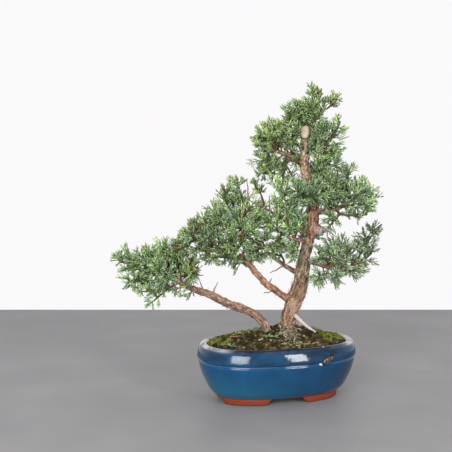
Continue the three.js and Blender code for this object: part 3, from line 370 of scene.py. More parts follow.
def joined(parts):
    """Points, faces and anything else of several skins as one. Each part is (points, [faces], extras)."""
    points, groups, extras = [], {}, []
    count = 0
    for part_points, part_faces, part_extras in parts:
        points.append(part_points)
        extras.append(part_extras)
        for faces in part_faces:
            if len(faces):
                groups.setdefault(np.shape(faces)[1], []).append(np.asarray(faces, int) + count)
        count += len(part_points)
    together = [np.concatenate(column) for column in zip(*extras)]
    return np.concatenate(points), [np.concatenate(group) for group in groups.values()], together


class Shader:
    """A material's nodes, made and linked in short calls."""

    def __init__(self, name):
        self.material = bpy.data.materials.new(name)
        self.material.use_nodes = True
        self.tree = self.material.node_tree
        self.surface = self.tree.nodes["Principled BSDF"]
        self.places = self.add("ShaderNodeTexCoord").outputs["Object"]

    def add(self, kind, **values):
        node = self.tree.nodes.new(kind)
        for key, value in values.items():
            setattr(node, key, value)
        return node

    def link(self, source, target):
        self.tree.links.new(source, target)

    def attribute(self, name, output):
        return self.add("ShaderNodeAttribute", attribute_name=name).outputs[output]

    def noise(self, size, detail=3, roughness=0.5, stretch=None):
        """Noise whose lumps are about so many millimetres wide."""
        node = self.add("ShaderNodeTexNoise")
        node.inputs["Scale"].default_value = 1 / (size * MM)
        node.inputs["Detail"].default_value = detail
        node.inputs["Roughness"].default_value = roughness
        places = self.places
        if stretch:
            mapping = self.add("ShaderNodeMapping")
            mapping.inputs["Scale"].default_value = stretch
            self.link(places, mapping.inputs["Vector"])
            places = mapping.outputs["Vector"]
        self.link(places, node.inputs["Vector"])
        return node.outputs["Fac"]

    def math(self, operation, a, b=0.0):
        node = self.add("ShaderNodeMath", operation=operation)
        for place, value in enumerate((a, b)):
            if isinstance(value, (int, float)):
                node.inputs[place].default_value = value
            else:
                self.link(value, node.inputs[place])
        return node.outputs[0]

    def times(self, a, b):
        return self.math("MULTIPLY", a, b)

    def plus(self, a, b):
        return self.math("ADD", a, b)

    def minus(self, a, b):
        return self.math("SUBTRACT", a, b)

    def parts(self, vector):
        """The three numbers of a vector or a colour."""
        node = self.add("ShaderNodeSeparateXYZ")
        self.link(vector, node.inputs[0])
        return node.outputs

    def span(self, value, low, high, to_low=0.0, to_high=1.0):
        node = self.add("ShaderNodeMapRange")
        for name, number in zip(("From Min", "From Max", "To Min", "To Max"), (low, high, to_low, to_high)):
            node.inputs[name].default_value = number
        self.link(value, node.inputs["Value"])
        return node.outputs["Result"]

    def blend(self, share, a, b, kind="MIX"):
        node = self.add("ShaderNodeMix", data_type="RGBA", blend_type=kind)
        if isinstance(share, float):
            node.inputs["Factor"].default_value = share
        else:
            self.link(share, node.inputs["Factor"])
        for name, value in (("A", a), ("B", b)):
            socket = next(s for s in node.inputs if s.name == name and s.type == "RGBA")
            if isinstance(value, bpy.types.NodeSocket):
                self.link(value, socket)
            else:
                socket.default_value = (*value, 1.0)
        return next(s for s in node.outputs if s.type == "RGBA")

    def tinted(self, shade):
        """The points' own colours, times a shade."""
        return self.blend(1.0, self.attribute("tint", "Color"), shade, "MULTIPLY")

    def paint(self, value):
        self.link(value, self.surface.inputs["Base Color"])

    def set(self, **values):
        for name, value in values.items():
            socket = self.surface.inputs[name.replace("_", " ")]
            if isinstance(value, bpy.types.NodeSocket):
                self.link(value, socket)
            else:
                socket.default_value = value

    def bump(self, height, depth, strength=1.0):
        """Fine relief, so many millimetres deep."""
        node = self.add("ShaderNodeBump")
        node.inputs["Strength"].default_value = strength
        node.inputs["Distance"].default_value = depth * MM
        self.link(height, node.inputs["Height"])
        self.link(node.outputs["Normal"], self.surface.inputs["Normal"])


LEAF_PAIR = 1.3  # the length of one pair of scale leaves


def make_leaf_material():
    shader = Shader("juniper_scale_leaves")
    wave = shader.times(shader.attribute("along", "Fac"), 2 * math.pi / LEAF_PAIR)
    scales = shader.math("SINE", wave)
    mottle = shader.noise(1.6, detail=2)
    share = shader.span(shader.plus(shader.times(scales, 0.25), mottle), 0.2, 0.9)
    shader.paint(shader.tinted(shader.blend(share, (0.66, 0.66, 0.66), (1.18, 1.18, 1.18))))
    shader.set(Roughness=0.5, Specular_IOR_Level=0.18)
    shader.bump(scales, 0.12, 0.5)
    return shader.material


def make_bark_material():
    shader = Shader("juniper_bark")
    fine = shader.noise(0.9, detail=5, roughness=0.65)
    broad = shader.noise(5.0, detail=3)
    shade = shader.blend(shader.span(fine, 0.34, 0.66), (0.6, 0.56, 0.54), (1.3, 1.3, 1.3))
    warm = shader.blend(shader.span(broad, 0.35, 0.7), (1.08, 0.98, 0.98), (0.98, 1.0, 1.16))
    shader.paint(shader.blend(1.0, shader.tinted(shade), warm, "MULTIPLY"))
    shader.set(Roughness=0.82, Specular_IOR_Level=0.25)
    shader.bump(fine, 0.35, 0.8)
    return shader.material


# The pot's colours, in the light's own numbers.
GLAZE_TONES = {
    "deep": (0.004, 0.036, 0.102),
    "blue": (0.005, 0.051, 0.141),
    "streak": (0.004, 0.026, 0.080),
    "low": (0.012, 0.086, 0.160),
    "band": (0.003, 0.028, 0.070),
    "run": (0.002, 0.013, 0.036),
    # The brown tone is iron-brown where the glaze breaks, and on the inner lip it is also the painted shadow
    # of the rim's inside wall.
    "brown": (0.030, 0.028, 0.036),
    "darker_rim_top": (0.002, 0.007, 0.020),
    # The thin tone is pale thin glaze at the lip, crest and groove, and a painted highlight on the rim's
    # ends.
    "thin": (0.600, 0.540, 0.520),
    "speck": (0.010, 0.014, 0.020),
    "edge": (0.060, 0.035, 0.025),
    "dark clay": (0.128, 0.015, 0.004),
    "clay": (0.205, 0.031, 0.009),
}
# The glaze's roughness on the left and on the right of the pot, and that of the bare clay.
GLAZE_ROUGHNESS = (0.14, 0.075)
CLAY_ROUGHNESS = 0.85


def make_glaze_material():
    """Blue glaze that is dark in its runs and thin on its edges, and the bare clay under it, painted paler
    on the left and darker on the right as light and shade.
    The points' tint says where the glaze is thin and the rim's ends get a painted highlight, where it is
    brown and painted with the inside wall's shadow, and where the rim's top is darker."""
    shader = Shader("blue_glaze_on_clay")
    tone = GLAZE_TONES
    places = shader.parts(shader.places)
    aside, height = (shader.times(shader.minus(places[i], float(ORIGIN[i])), 1 / MM) for i in (0, 2))
    drift = shader.times(shader.minus(shader.noise(14, detail=2), 0.5), 2.2)
    level = shader.plus(height, drift)
    glazed = shader.span(level, GLAZE_END - 0.15, GLAZE_END + 0.15)
    clouds = shader.noise(26, detail=4)
    streaks = shader.noise(9, detail=3, stretch=(1, 1, 0.25))
    glaze = shader.blend(shader.span(clouds, 0.35, 0.68), tone["deep"], tone["blue"])
    glaze = shader.blend(shader.span(streaks, 0.4, 0.8, 0.0, 0.5), glaze, tone["streak"])
    low = shader.times(shader.span(height, 34.0, 10.0), shader.span(aside, 40.0, -55.0, 0.1, 0.85))
    glaze = shader.blend(low, glaze, tone["low"])
    band = shader.span(height, 41.0, 44.0)
    glaze = shader.blend(shader.times(band, 0.45), glaze, tone["band"])
    runs = shader.noise(7, detail=3, stretch=(0.3, 0.3, 1))
    glaze = shader.blend(shader.times(band, shader.span(runs, 0.42, 0.62, 0.0, 0.9)), glaze, tone["run"])
    # Painted light and shade: the glaze is painted paler on the pot's left, where the light falls, and
    # darker on its right.
    turn = shader.blend(shader.span(aside, -60.0, 60.0), (1.1, 1.2, 1.08), (1.0, 0.84, 0.76))
    glaze = shader.blend(1.0, glaze, turn, "MULTIPLY")
    thin, brown, darker_rim_top = shader.parts(shader.attribute("tint", "Color"))
    for share, name in ((brown, "brown"), (darker_rim_top, "darker_rim_top"), (thin, "thin")):
        glaze = shader.blend(share, glaze, tone[name])
    specks = shader.noise(2.2, detail=2, roughness=0.6)
    glaze = shader.blend(shader.span(specks, 0.74, 0.78, 0.0, 0.8), glaze, tone["speck"])
    edge = shader.span(level, GLAZE_END + 1.1, GLAZE_END + 0.2)
    glaze = shader.blend(shader.times(edge, 0.85), glaze, tone["edge"])
    grit = shader.noise(0.8, detail=4, roughness=0.7)
    clay = shader.blend(shader.span(grit, 0.3, 0.7), tone["dark clay"], tone["clay"])
    shader.paint(shader.blend(glazed, clay, glaze))
    gloss = shader.span(aside, -45.0, 5.0, *GLAZE_ROUGHNESS)
    dull = shader.times(shader.minus(CLAY_ROUGHNESS, gloss), shader.minus(1.0, glazed))
    shader.set(Roughness=shader.plus(gloss, dull), Specular_IOR_Level=0.38)
    shader.bump(shader.plus(shader.noise(11, detail=2), shader.times(grit, 0.02)), 0.5, 0.35)
    return shader.material


def make_mottled_material(name, size, dark, pale, roughness, depth):
    """A rough material whose tint is mottled with finer noise."""
    shader = Shader(name)
    fine = shader.noise(size, detail=4, roughness=0.65)
    shader.paint(shader.tinted(shader.blend(shader.span(fine, 0.28, 0.72), dark, pale)))
    shader.set(Roughness=roughness, Specular_IOR_Level=0.25)
    shader.bump(fine, depth, 0.7)
    return shader.material


def make_blister_material():
    shader = Shader("dark_glaze_blister")
    clouds = shader.noise(2.0, detail=3)
    shade = shader.blend(shader.span(clouds, 0.3, 0.7), (0.6, 0.6, 0.6), (1.3, 1.3, 1.3))
    shader.paint(shader.tinted(shade))
    shader.set(Roughness=0.2, Specular_IOR_Level=0.4)
    shader.bump(clouds, 0.12, 0.3)
    return shader.material


def make_screen_material():
    shader = Shader("dark_mesh_plastic")
    scuffs = shader.noise(2.5, detail=4)
    shader.paint(shader.blend(shader.span(scuffs, 0.35, 0.7), (0.012, 0.014, 0.013), (0.035, 0.037, 0.035)))
    shader.set(Roughness=shader.span(scuffs, 0.3, 0.7, 0.45, 0.7))
    shader.bump(scuffs, 0.1, 0.4)
    return shader.material


LEAF = make_leaf_material()
BARK = make_bark_material()
GLAZE = make_glaze_material()
BLISTER = make_blister_material()
EARTH = make_mottled_material("soil_crumb", 0.9, (0.45, 0.45, 0.45), (1.4, 1.35, 1.3), 0.95, 0.5)
MOSS = make_mottled_material("moss", 0.7, (0.5, 0.5, 0.45), (1.35, 1.35, 1.2), 0.9, 0.3)
PASTE = make_mottled_material("wound_paste", 1.5, (0.8, 0.76, 0.74), (1.08, 1.08, 1.08), 0.6, 0.3)
SCREEN = make_screen_material()


def oval(angles, inset):
    """Points of the pot's oval, which stands in from the rim by the inset."""
    power = 2 / OVAL_POWER
    x = np.sign(np.cos(angles)) * np.abs(np.cos(angles)) ** power * (RIM_HALF_LENGTH - inset)
    y = np.sign(np.sin(angles)) * np.abs(np.sin(angles)) ** power * (RIM_HALF_WIDTH - inset)
    return np.stack([x, y], axis=-1)


def oval_row(angles, inset, z):
    """Points of the oval at a height, or each at its own inset and height."""
    return np.column_stack([oval(angles, inset), np.broadcast_to(z, len(angles))])


def oval_reach(x, y, inset):
    """How far out places lie in the oval at the inset, to the oval's power: 1 is on it."""
    along = np.abs(x) / (RIM_HALF_LENGTH - inset)
    return along**OVAL_POWER + (np.abs(y) / (RIM_HALF_WIDTH - inset)) ** OVAL_POWER


def turned(points, angle=POT_TURN):
    """Points turned about the vertical axis."""
    points = np.array(points, float)
    x, y = points[..., 0].copy(), points[..., 1].copy()
    points[..., 0] = x * math.cos(angle) - y * math.sin(angle)
    points[..., 1] = x * math.sin(angle) + y * math.cos(angle)
    return points


def travelled(line):
    """How far along a line each of its points is."""
    return np.concatenate([[0], np.cumsum(np.linalg.norm(np.diff(line, axis=0), axis=1))])


def even_angles(count):
    """Parameters of the oval that give points about as far apart all round."""
    fine = np.linspace(0, 2 * np.pi, 20001)
    way = travelled(oval(fine, 0))
    return np.interp(np.linspace(0, way[-1], count, endpoint=False), way, fine)


def smooth_line(points, step):
    """Points every step or so along a centripetal curve through the points. Columns after the third
    are carried along."""
    points = np.array(points, float)
    held = np.vstack([2 * points[0] - points[1], points, 2 * points[-1] - points[-2]])
    line = []
    for i in range(1, len(held) - 2):
        four = held[i - 1 : i + 3]
        gaps = np.linalg.norm(np.diff(four[:, :3], axis=0), axis=1) ** 0.5
        knots = np.concatenate([[0], np.cumsum(np.maximum(gaps, 1e-6))])
        count = max(1, round(np.linalg.norm(four[2, :3] - four[1, :3]) / step))
        for t in np.linspace(knots[1], knots[2], count, endpoint=False):
            level = four
            for low, high in ((knots[:3], knots[1:]), (knots[:2], knots[2:]), (knots[1:2], knots[2:3])):
                share = ((t - low) / (high - low))[:, None]
                level = level[:-1] * (1 - share) + level[1:] * share
            line.append(level[0])
    line.append(points[-1])
    return np.array(line)


def carried_frames(line):
    """A direction and two sides of it at each point of a line, without twist."""
    ahead = unit(np.gradient(line, axis=0))
    side = unit(np.cross(ahead[0], [0.31, 0.89, 0.12]))
    sides = []
    for direction in ahead:
        side = unit(side - direction * (side @ direction))
        sides.append(side)
    sides = np.array(sides)
    return ahead, sides, np.cross(ahead, sides)


# The wood.

BARK_BROWN = colour(124, 92, 74)
BARK_TAN = colour(158, 126, 102)
BARK_RUST = colour(150, 84, 52)
BARK_GREY = colour(104, 92, 80)
BARK_PALE_FLAKE = colour(200, 172, 148)
BARK_DARK_FLAKE = colour(70, 50, 36)
BARK_CRACK = colour(64, 48, 38)
BARK_BARED = colour(176, 152, 132)
DEAD_ROOT = colour(176, 172, 164)
DEAD_TWIG = colour(128, 116, 106)
OLD_STUB = colour(146, 134, 126)
STRIP_TONES = (colour(88, 62, 48), colour(190, 160, 136))

# The bark's fibres: how far they turn round a limb in a millimetre, how many times longer than broad
# they are, and the most that they stand out. The shares make its cracks, its grain and its flakes.
FIBRE_TURN = 0.015
FIBRE_STRETCH = 6
FIBRE_DEPTH = 0.75
CRACK_SHARE, GRAIN_SHARE, FLAKE_SHARE = -1.1, 0.5, 0.3
# Strips of peeling bark, before a limb's own size: shortest and longest, and so on.
STRIP_LENGTH = (2.5, 7)
STRIP_WIDTH = (0.7, 1.8)
STRIP_LIFT = (0.3, 2.4)
STRIP_HALF_THICKNESS = 0.16
# The trunk's skin: points round it and the step along it.
TRUNK_AROUND = 80
TRUNK_STEP = 0.95
# How the old limbs are skinned: points round them, the step along them, how rusty their bark is and
# its shade. The thin limbs that bear foliage share one way.
LIMB_SKINS = {
    "low": (46, 1.0, 0.75, (0.68, 0.74, 0.76)),
    "middle": (34, 1.0, 0.75, (0.88, 0.84, 0.76)),
    "dead_root": (20, 1.0, 0.15, (1.0, 1.0, 1.0)),
}
THIN_LIMB_SKIN = (16, 1.5, 0.15, (0.72, 0.8, 0.78))
# The limbs whose bark peels, with the number of strips, their seed and their size.
PEELING = [
    (TRUNK, 400, 5, 0.95),
    (LIMBS["low"][1:], 180, 6, 0.8),
    (LIMBS["middle"], 110, 7, 0.65),
    (LIMBS["right"], 20, 8, 0.6),
]
# How the trunk's bark changes with height: greyer and greener, purplish at the gnarl, pale above.
TRUNK_WEAR = [
    (95, (0.68, 0.66, 0.6)),
    (112, (0.66, 0.78, 0.7)),
    (135, (0.56, 0.86, 0.78)),
    (152, (0.68, 0.88, 0.84)),
    (166, (0.84, 0.84, 0.76)),
    (188, (0.86, 0.84, 0.78)),
    (206, (1.3, 1.6, 1.5)),
    (264, (1.4, 1.75, 1.65)),
]
# The middle of the patch that has lost its bark.
PALE_PATCH = np.array([15.5, -6.0, 90.0])


def bark_tint(points, strip, crack, flake, pale, warm):
    """Bark colours: tan and pinkish strips, dark cracks and grey weathering."""
    patches = rough(points, 7, 41)
    tint = mix(BARK_BROWN, BARK_TAN, smoothstep(strip + 0.5 * patches, -0.5, 0.5))
    tint = mix(tint, BARK_RUST, spots(points, 3.2, 43, 0.15, 0.65) * warm)
    tint = mix(tint, BARK_GREY, spots(points, 4, 47, 0.1, 0.6) * 0.6)
    tint = mix(tint, BARK_PALE_FLAKE, smoothstep(flake, 0.12, 0.55) * 0.8)
    tint = mix(tint, BARK_DARK_FLAKE, smoothstep(flake, -0.12, -0.5) * 0.9)
    tint = mix(tint, BARK_CRACK, crack * 0.7)
    return mix(tint, BARK_BARED, pale * (1 - 0.6 * crack))


def limb_skin(route, around, step, seed, relief=0.11, warm=0.6):
    """A limb with bark relief, as points, faces and tint."""
    line = smooth_line(route, step)
    line, radii = line[:, :3], line[:, 3]
    ahead, sides, others = carried_frames(line)
    way = travelled(line)
    turn, place = np.meshgrid(np.arange(around) / around * 2 * np.pi, np.arange(len(line)))
    turn = turn + way[place] * FIBRE_TURN
    radius = radii[place]
    outward = np.cos(turn)[..., None] * sides[place] + np.sin(turn)[..., None] * others[place]
    flat = line[place] + radius[..., None] * outward
    fibre = np.maximum(radius / 2.1, 0.7)[..., None] * np.stack([np.cos(turn), np.sin(turn)], -1)
    fibre = np.concatenate([fibre, (way[place] / FIBRE_STRETCH + seed)[..., None]], axis=-1)
    strip = rough(fibre, 1.0, seed, octaves=2)
    crack = smoothstep(np.abs(noise(fibre * [1.4, 1.4, 1.1], 1.0, seed + 9)), 0.13, 0.02)
    crack = crack * spots(flat, 4, seed + 7, -0.3, 0.4)
    flake = rough(fibre * [1.9, 1.9, 1.8], 1.0, 53, octaves=2)
    reach = radius * (1 + relief * rough(flat, 9, seed + 5, octaves=2))
    grain = rough(flat, 2.2, seed + 3)
    bark = strip + CRACK_SHARE * crack + GRAIN_SHARE * grain + FLAKE_SHARE * flake
    reach = reach + np.minimum(FIBRE_DEPTH, radius * 0.2) * bark
    skin = line[place] + reach[..., None] * outward
    end = line[-1:] + ahead[-1:] * radii[-1] * 0.3
    points = np.concatenate([skin.reshape(-1, 3), line[:1], end])
    ring = np.arange(around)
    near = fan(len(points) - 2, ring, flipped=True)
    far = fan(len(points) - 1, (len(line) - 1) * around + ring)
    strip, crack, flake = (np.append(values, [0, 0]) for values in (strip, crack, flake))
    distance = np.linalg.norm((points - PALE_PATCH) * [1, 0.6, 0.75], axis=1)
    pale = smoothstep(distance + 3 * rough(points, 5, 61), 9, 4)
    tint = bark_tint(points, strip, crack, flake, pale, warm)
    if route is LIMBS["dead_root"]:
        tint = mix(tint, DEAD_ROOT, 0.85)
    if route is TRUNK:
        tint = tint * weathering(points[:, 2])
    return points, [grid_faces(len(line), around), near, far], [tint]


def weathering(heights):
    """The trunk's shade at each height."""
    levels = [level for level, _ in TRUNK_WEAR]
    shades = np.array([shade for _, shade in TRUNK_WEAR])
    return np.stack([np.interp(heights, levels, shades[:, i]) for i in range(3)], axis=1)


def curl_of_bark(centre, outward, ahead, length, width, lift, rng):
    """A strip of bark that peels off at one end, as points, faces and tint."""
    across = np.cross(ahead, outward)
    rows = []
    for t in np.linspace(0, 1, 5):
        half = width / 2 * (1 - 0.5 * t * t)
        middle = centre + ahead * length * t + outward * (lift * t * t - 0.15)
        thick = STRIP_HALF_THICKNESS * (1 - 0.5 * t)
        for side, face in ((-1, 1), (1, 1), (1, -1), (-1, -1)):
            rows.append(middle + side * across * half + face * outward * thick)
    points = np.array(rows)
    points += 0.12 * noise(points, 1.5, 9)[:, None] * outward
    last = len(points)
    ends = np.array([[3, 2, 1, 0], [last - 4, last - 3, last - 2, last - 1]])
    tint = plain_tint(mix(*STRIP_TONES, rng.random()), points)
    return points, [grid_faces(5, 4), ends], [tint]


def peeling_bark(route, count, seed, size=1.0):
    """Strips of bark that stand off a limb."""
    rng = np.random.default_rng(seed)
    line = smooth_line(route, 1.0)
    ahead, sides, others = carried_frames(line[:, :3])
    strips = []
    for _ in range(count):
        i = rng.integers(2, len(line) - 3)
        angle = rng.uniform(0, 2 * np.pi)
        outward = math.cos(angle) * sides[i] + math.sin(angle) * others[i]
        centre = line[i, :3] + outward * line[i, 3] * 1.02
        way = ahead[i] * rng.choice([-1, 1]) + 0.35 * rng.normal(size=3)
        way = unit(way - outward * (way @ outward))
        length, width, lift = (rng.uniform(*span) * size for span in (STRIP_LENGTH, STRIP_WIDTH, STRIP_LIFT))
        strips.append(curl_of_bark(centre, outward, way, length, width, lift, rng))
    return strips


def twig_skin(root, tip, root_half, tip_half, seed, bend=0.3):
    """A thin crooked twig, as points, faces and tint."""
    rng = np.random.default_rng(seed)
    root, tip = np.array(root, float), np.array(tip, float)
    steps = np.linspace(0, 1, 6)
    line = root + (tip - root) * steps[:, None]
    line[1:-1] += rng.normal(size=(4, 3)) * bend
    route = np.column_stack([line, root_half + (tip_half - root_half) * steps])
    points, faces, (tint,) = limb_skin(route, 8, 0.9, seed, warm=0.1)
    return points, faces, [mix(tint, DEAD_TWIG, 0.5)]


def cut_basis(cut):
    """Across a cut's oval, the way it faces and along its oval."""
    normal = unit(cut["facing"])
    along = unit(np.array([0, 0, 1.0]) - normal * normal[2])
    return np.cross(normal, along), normal, along


def revolved(cut, profile, around, wobble, seed):
    """A skin about a cut's axis, from (share of the oval, height) pairs, as points and faces."""
    across, normal, along = cut_basis(cut)
    angles = np.arange(around) / around * 2 * np.pi
    circle = np.stack([np.cos(angles) * 2, np.sin(angles) * 2, 0 * angles], 1)
    waver = 1 + wobble * noise(circle, 1, seed)
    rows = []
    for share, height in profile:
        x = share * waver * np.cos(angles) * cut["oval"][0]
        y = share * waver * np.sin(angles) * cut["oval"][1]
        rows.append(np.array(cut["at"]) + x[:, None] * across + y[:, None] * along + height * normal)
    points = np.concatenate([*rows, [rows[-1].mean(axis=0)]])
    last = np.arange(around) + (len(profile) - 1) * around
    cap = fan(len(points) - 1, last, flipped=True)
    return points, [grid_faces(len(profile), around)[:, ::-1], cap]


def stub_skin(cut, seed):
    """The stub of a limb behind its cut, as points, faces and tint."""
    deep = cut["stub"]
    profile = [(1.06, -deep), (1.04, -deep / 2), (1.05, -1.2), (1.0, -0.2), (0.9, 0.0), (0.5, 0.0)]
    points, faces = revolved(cut, profile, 40, 0.1, seed)
    points += unit(points - np.array(cut["at"])) * (0.35 * rough(points, 2.0, seed))[:, None]
    strip = rough(points, 2, seed)
    flake = rough(points, 1.7, 53, octaves=2)
    tint = bark_tint(points, strip, smoothstep(strip, -0.3, -0.7), flake, 0.15, 0.2)
    return points, faces, [mix(tint, OLD_STUB, 0.55)]


def make_wood():
    parts = [limb_skin(TRUNK, TRUNK_AROUND, TRUNK_STEP, SEEDS["trunk"], relief=0.14)]
    for i, (name, route) in enumerate(LIMBS.items()):
        around, step, warm, shade = LIMB_SKINS.get(name, THIN_LIMB_SKIN)
        skin, faces, (tint,) = limb_skin(route, around, step, SEEDS["limbs"] + i, warm=warm)
        parts.append((skin, faces, [tint * np.array(shade)]))
    for i, (root, tip) in enumerate(BARE_TWIGS):
        parts.append(twig_skin(root, tip, *TWIG_HALVES, SEEDS["twigs"] + i))
    for i, cut in enumerate(CUTS.values()):
        parts.append(stub_skin(cut, SEEDS["stubs"] + i))
    for limb in PEELING:
        parts += peeling_bark(*limb)
    points, faces, (tint,) = joined(parts)
    wood = shown("wood_fine", points, faces, BARK, tint)
    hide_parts("wood")


# The caps of wound paste: their profile as (share of the cut's oval, share of the thickness).
PASTE_PROFILE = [
    (0.6, 0), (1.0, 0), (1.07, 0.1), (1.08, 0.3), (1.0, 0.55), (0.84, 0.78), (0.62, 0.92), (0.36, 1.0),
    (0.15, 1.02),
]
PASTE_TONES = {"top": colour(180, 168, 150), "side": colour(146, 138, 128)}


def make_pastes():
    profile = [(share, SEAT_GAP + height * PASTE_THICKNESS) for share, height in PASTE_PROFILE]
    for i, (name, cut) in enumerate(CUTS.items()):
        points, faces = revolved(cut, profile, 48, 0.06, SEEDS["pastes"] + i)
        swell = 0.35 * rough(points, 2.6, SEEDS["pastes"] + 2 + i)
        points = points + unit(cut["facing"]) * swell[:, None]
        tone = PASTE_TONES[name]
        tint = mix(tone, tone * 0.72, spots(points, 2.2, 107, 0.1, 0.7))
        paste = shown(f"paste_{name}_fine", points, faces, PASTE, tint)
        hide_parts(f"cut_paste_{name}")


# The pot and the soil.


def pot_section():
    """The pot's section as a smooth line of (inset, height), with more points where it turns."""
    section = [(inset, 0.0, z) for inset, z in POT_SECTION]
    return smooth_line(section, 1.1)[:, [0, 2]]


def make_pot():
    angles = even_angles(OVAL_STEPS)
    section = pot_section()
    rings = [oval_row(angles, inset, z) for inset, z in section]
    points = np.vstack([*rings, [0, 0, FOOT_TOP], [0, 0, POT_SECTION[-1][1]]])
    around = np.arange(OVAL_STEPS)
    under = fan(len(points) - 2, around, flipped=True)
    floor = fan(len(points) - 1, (len(section) - 1) * OVAL_STEPS + around)
    height = points[:, 2]
    inset = np.concatenate([np.repeat(section[:, 0], OVAL_STEPS), [40, 40]])
    wander = rough(turned(points), 9, 131)
    ends = smoothstep(np.abs(points[:, 0]), 50, 74)
    lip = smoothstep(np.abs(inset - 5.0), 1.0, 0.3) * (height > 54.5)
    crest = smoothstep(np.abs(height - 54.6), 1.3, 0.3) * (inset < 2)
    groove = smoothstep(np.abs(height - 40.3), 0.7, 0.1) * (inset < 2)
    crown = smoothstep(height, 53.0, 55.2) * (inset < 6.4)
    # Pale where the glaze is thin at the lip, crest and groove; on the rim's ends the pale tone is a painted
    # highlight where the lip catches the light.
    thin = 0.08 * lip + 0.04 * crest + 0.1 * groove + 0.8 * ends * crown
    thin = np.clip(thin, 0, 1) * smoothstep(wander, -0.7, 0.3)
    # Brown on the lip and crest away from the ends: iron-brown where the glaze breaks, and on the inner lip
    # the painted shadow of the rim's inside wall.
    brown = (1 - ends) * np.maximum(0.6 * crest, lip) * smoothstep(wander, 0.9, -0.1)
    # The rim's top is darker away from its ends.
    darker_rim_top = (1 - ends) * crown * smoothstep(wander, 0.7, -0.3)
    tint = np.stack([thin, brown, darker_rim_top], axis=1)
    faces = [grid_faces(len(section), OVAL_STEPS), under, floor]
    pot = shown("pot_fine", turned(points), faces, GLAZE, tint)
    drill_drains(pot)
    add_feet()
    add_kiln_marks()
    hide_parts("pot")


def drill_drains(pot):
    for side in (-1, 1):
        place = turned([side * DRAIN_SPACING / 2, 0, FOOT_TOP]) * MM + ORIGIN
        bpy.ops.mesh.primitive_cylinder_add(
            vertices=48, radius=DRAIN_RADIUS * MM, depth=DRILL_LENGTH * MM, location=place
        )
        drain = bpy.context.object
        cut = pot.modifiers.new("drain", "BOOLEAN")
        cut.operation = "DIFFERENCE"
        cut.object = drain
        cut.solver = "EXACT"
        graph = bpy.context.evaluated_depsgraph_get()
        cut_mesh = bpy.data.meshes.new_from_object(pot.evaluated_get(graph))
        pot.modifiers.clear()
        pot.data = cut_mesh
        bpy.data.objects.remove(drain)


def add_feet():
    """Four curved bars whose lower edge sweeps up at both ends in two lobes, as a cloud's does."""
    across = np.linspace(-1, 1, FOOT_STEPS + 1)
    rise = smoothstep(np.abs(across), FOOT_FLAT, 1.0)
    lobe = np.exp(-(((np.abs(across) - 0.86) / 0.05) ** 2))
    low = np.clip(GROUND + rise * (FOOT_TOP - GROUND) - lobe, GROUND, FOOT_TOP)
    lean = FOOT_BATTER * (FOOT_TOP - low) / (FOOT_TOP - GROUND)
    top = np.full(FOOT_STEPS + 1, FOOT_TOP + 1.0)
    edge = np.full(FOOT_STEPS + 1, FOOT_INSET)
    rows = [
        (edge + FOOT_DEPTH, top),
        (edge - 0.3, top),
        (edge + lean * 0.25, top - (top - low) * 0.35),
        (edge + lean * 0.7, top - (top - low) * 0.8),
        (edge + lean + 0.25, low + 0.12),
        (edge + lean + 0.9, low),
        (edge + FOOT_DEPTH, low),
    ]
    count = len(rows)
    ends = np.array([np.arange(count), np.arange(count)[::-1] + FOOT_STEPS * count])
    skin = [grid_faces(FOOT_STEPS + 1, count)[:, ::-1], ends]
    parts = []
    for start, end in FOOT_SPANS:
        angles = np.radians(start + (end - start) * (across + 1) / 2)
        points = np.stack([oval_row(angles, inset, z) for inset, z in rows], axis=1)
        points[..., :2] += 0.16 * rough(points, 3, 141)[..., None]
        points[:, 4:, 2] += 0.35 * spots(points * [1, 1, 0], 6, 143, 0.1, 0.7)[:, 4:]
        parts.append((turned(points.reshape(-1, 3)), skin, []))
    points, faces, _ = joined(parts)
    feet = shown("pot_feet", points, faces, GLAZE, np.zeros((len(points), 3)))
    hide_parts("pot")


def on_band(degrees, z, out=0.0):
    """A point of the pot's outside and the way it faces, in the tree's own directions."""
    section = pot_section()
    outside = section[: np.argmax(section[:, 1])]
    inset = np.interp(z, outside[:, 1], outside[:, 0])
    angle = math.radians(degrees)
    here = oval(np.array([angle]), inset)[0]
    ahead = oval(np.array([angle + 0.01]), inset)[0] - here
    outward = unit([ahead[1], -ahead[0], 0.0])
    place = np.array([*here, z]) + outward * out
    return turned(place), turned(outward)


def blob(centre, outward, half, depth, seed, roughness=0.12, tilt=0.0):
    """A flattened lump on a surface, as points and faces."""
    level = unit(np.cross([0, 0, 1.0], outward))
    upright = np.cross(outward, level)
    side = level * math.cos(tilt) + upright * math.sin(tilt)
    up = np.cross(outward, side)
    around = 28
    angles = np.arange(around) / around * 2 * np.pi
    rows = []
    for rise in np.linspace(-0.35, math.pi / 2 - 0.08, 9):
        reach = math.cos(rise)
        rows.append(
            centre
            + reach * half[0] * np.cos(angles)[:, None] * side
            + reach * half[1] * np.sin(angles)[:, None] * up
            + math.sin(rise) * depth * outward
        )
    points = np.vstack([*rows, centre + outward * depth])
    points = centre + (points - centre) * (1 + roughness * rough(points, 3.5, seed))[:, None]
    cap = fan(len(points) - 1, np.arange(around) + (len(rows) - 1) * around)
    return points, [grid_faces(len(rows), around), cap]


# The blister's middle, its lobes and its painted glint: degrees round the oval and height. A lobe also has
# its half sizes, its depth and its seed.
BLISTER_AT = (-68.5, 44.5)
BLISTER_LOBES = [
    (-69.2, 43.6, (5.6, 3.9), 2.6, 151),
    (-64.6, 45.4, (4.2, 3.4), 2.0, 152),
    (-72.0, 41.2, (2.6, 2.1), 1.9, 154),
    (-73.0, 40.1, (1.7, 1.4), 1.3, 155),
]
BLISTER_PAINTED_GLINT = (-73.4, 39.9)
# Pits: degrees round the oval, height and half size.
GLAZE_PITS = [(-93.5, 48.25, 1.3), (-126.5, 11.0, 1.5), (-114.5, 11.2, 1.4), (-38, 30, 0.6), (150, 36, 0.8)]


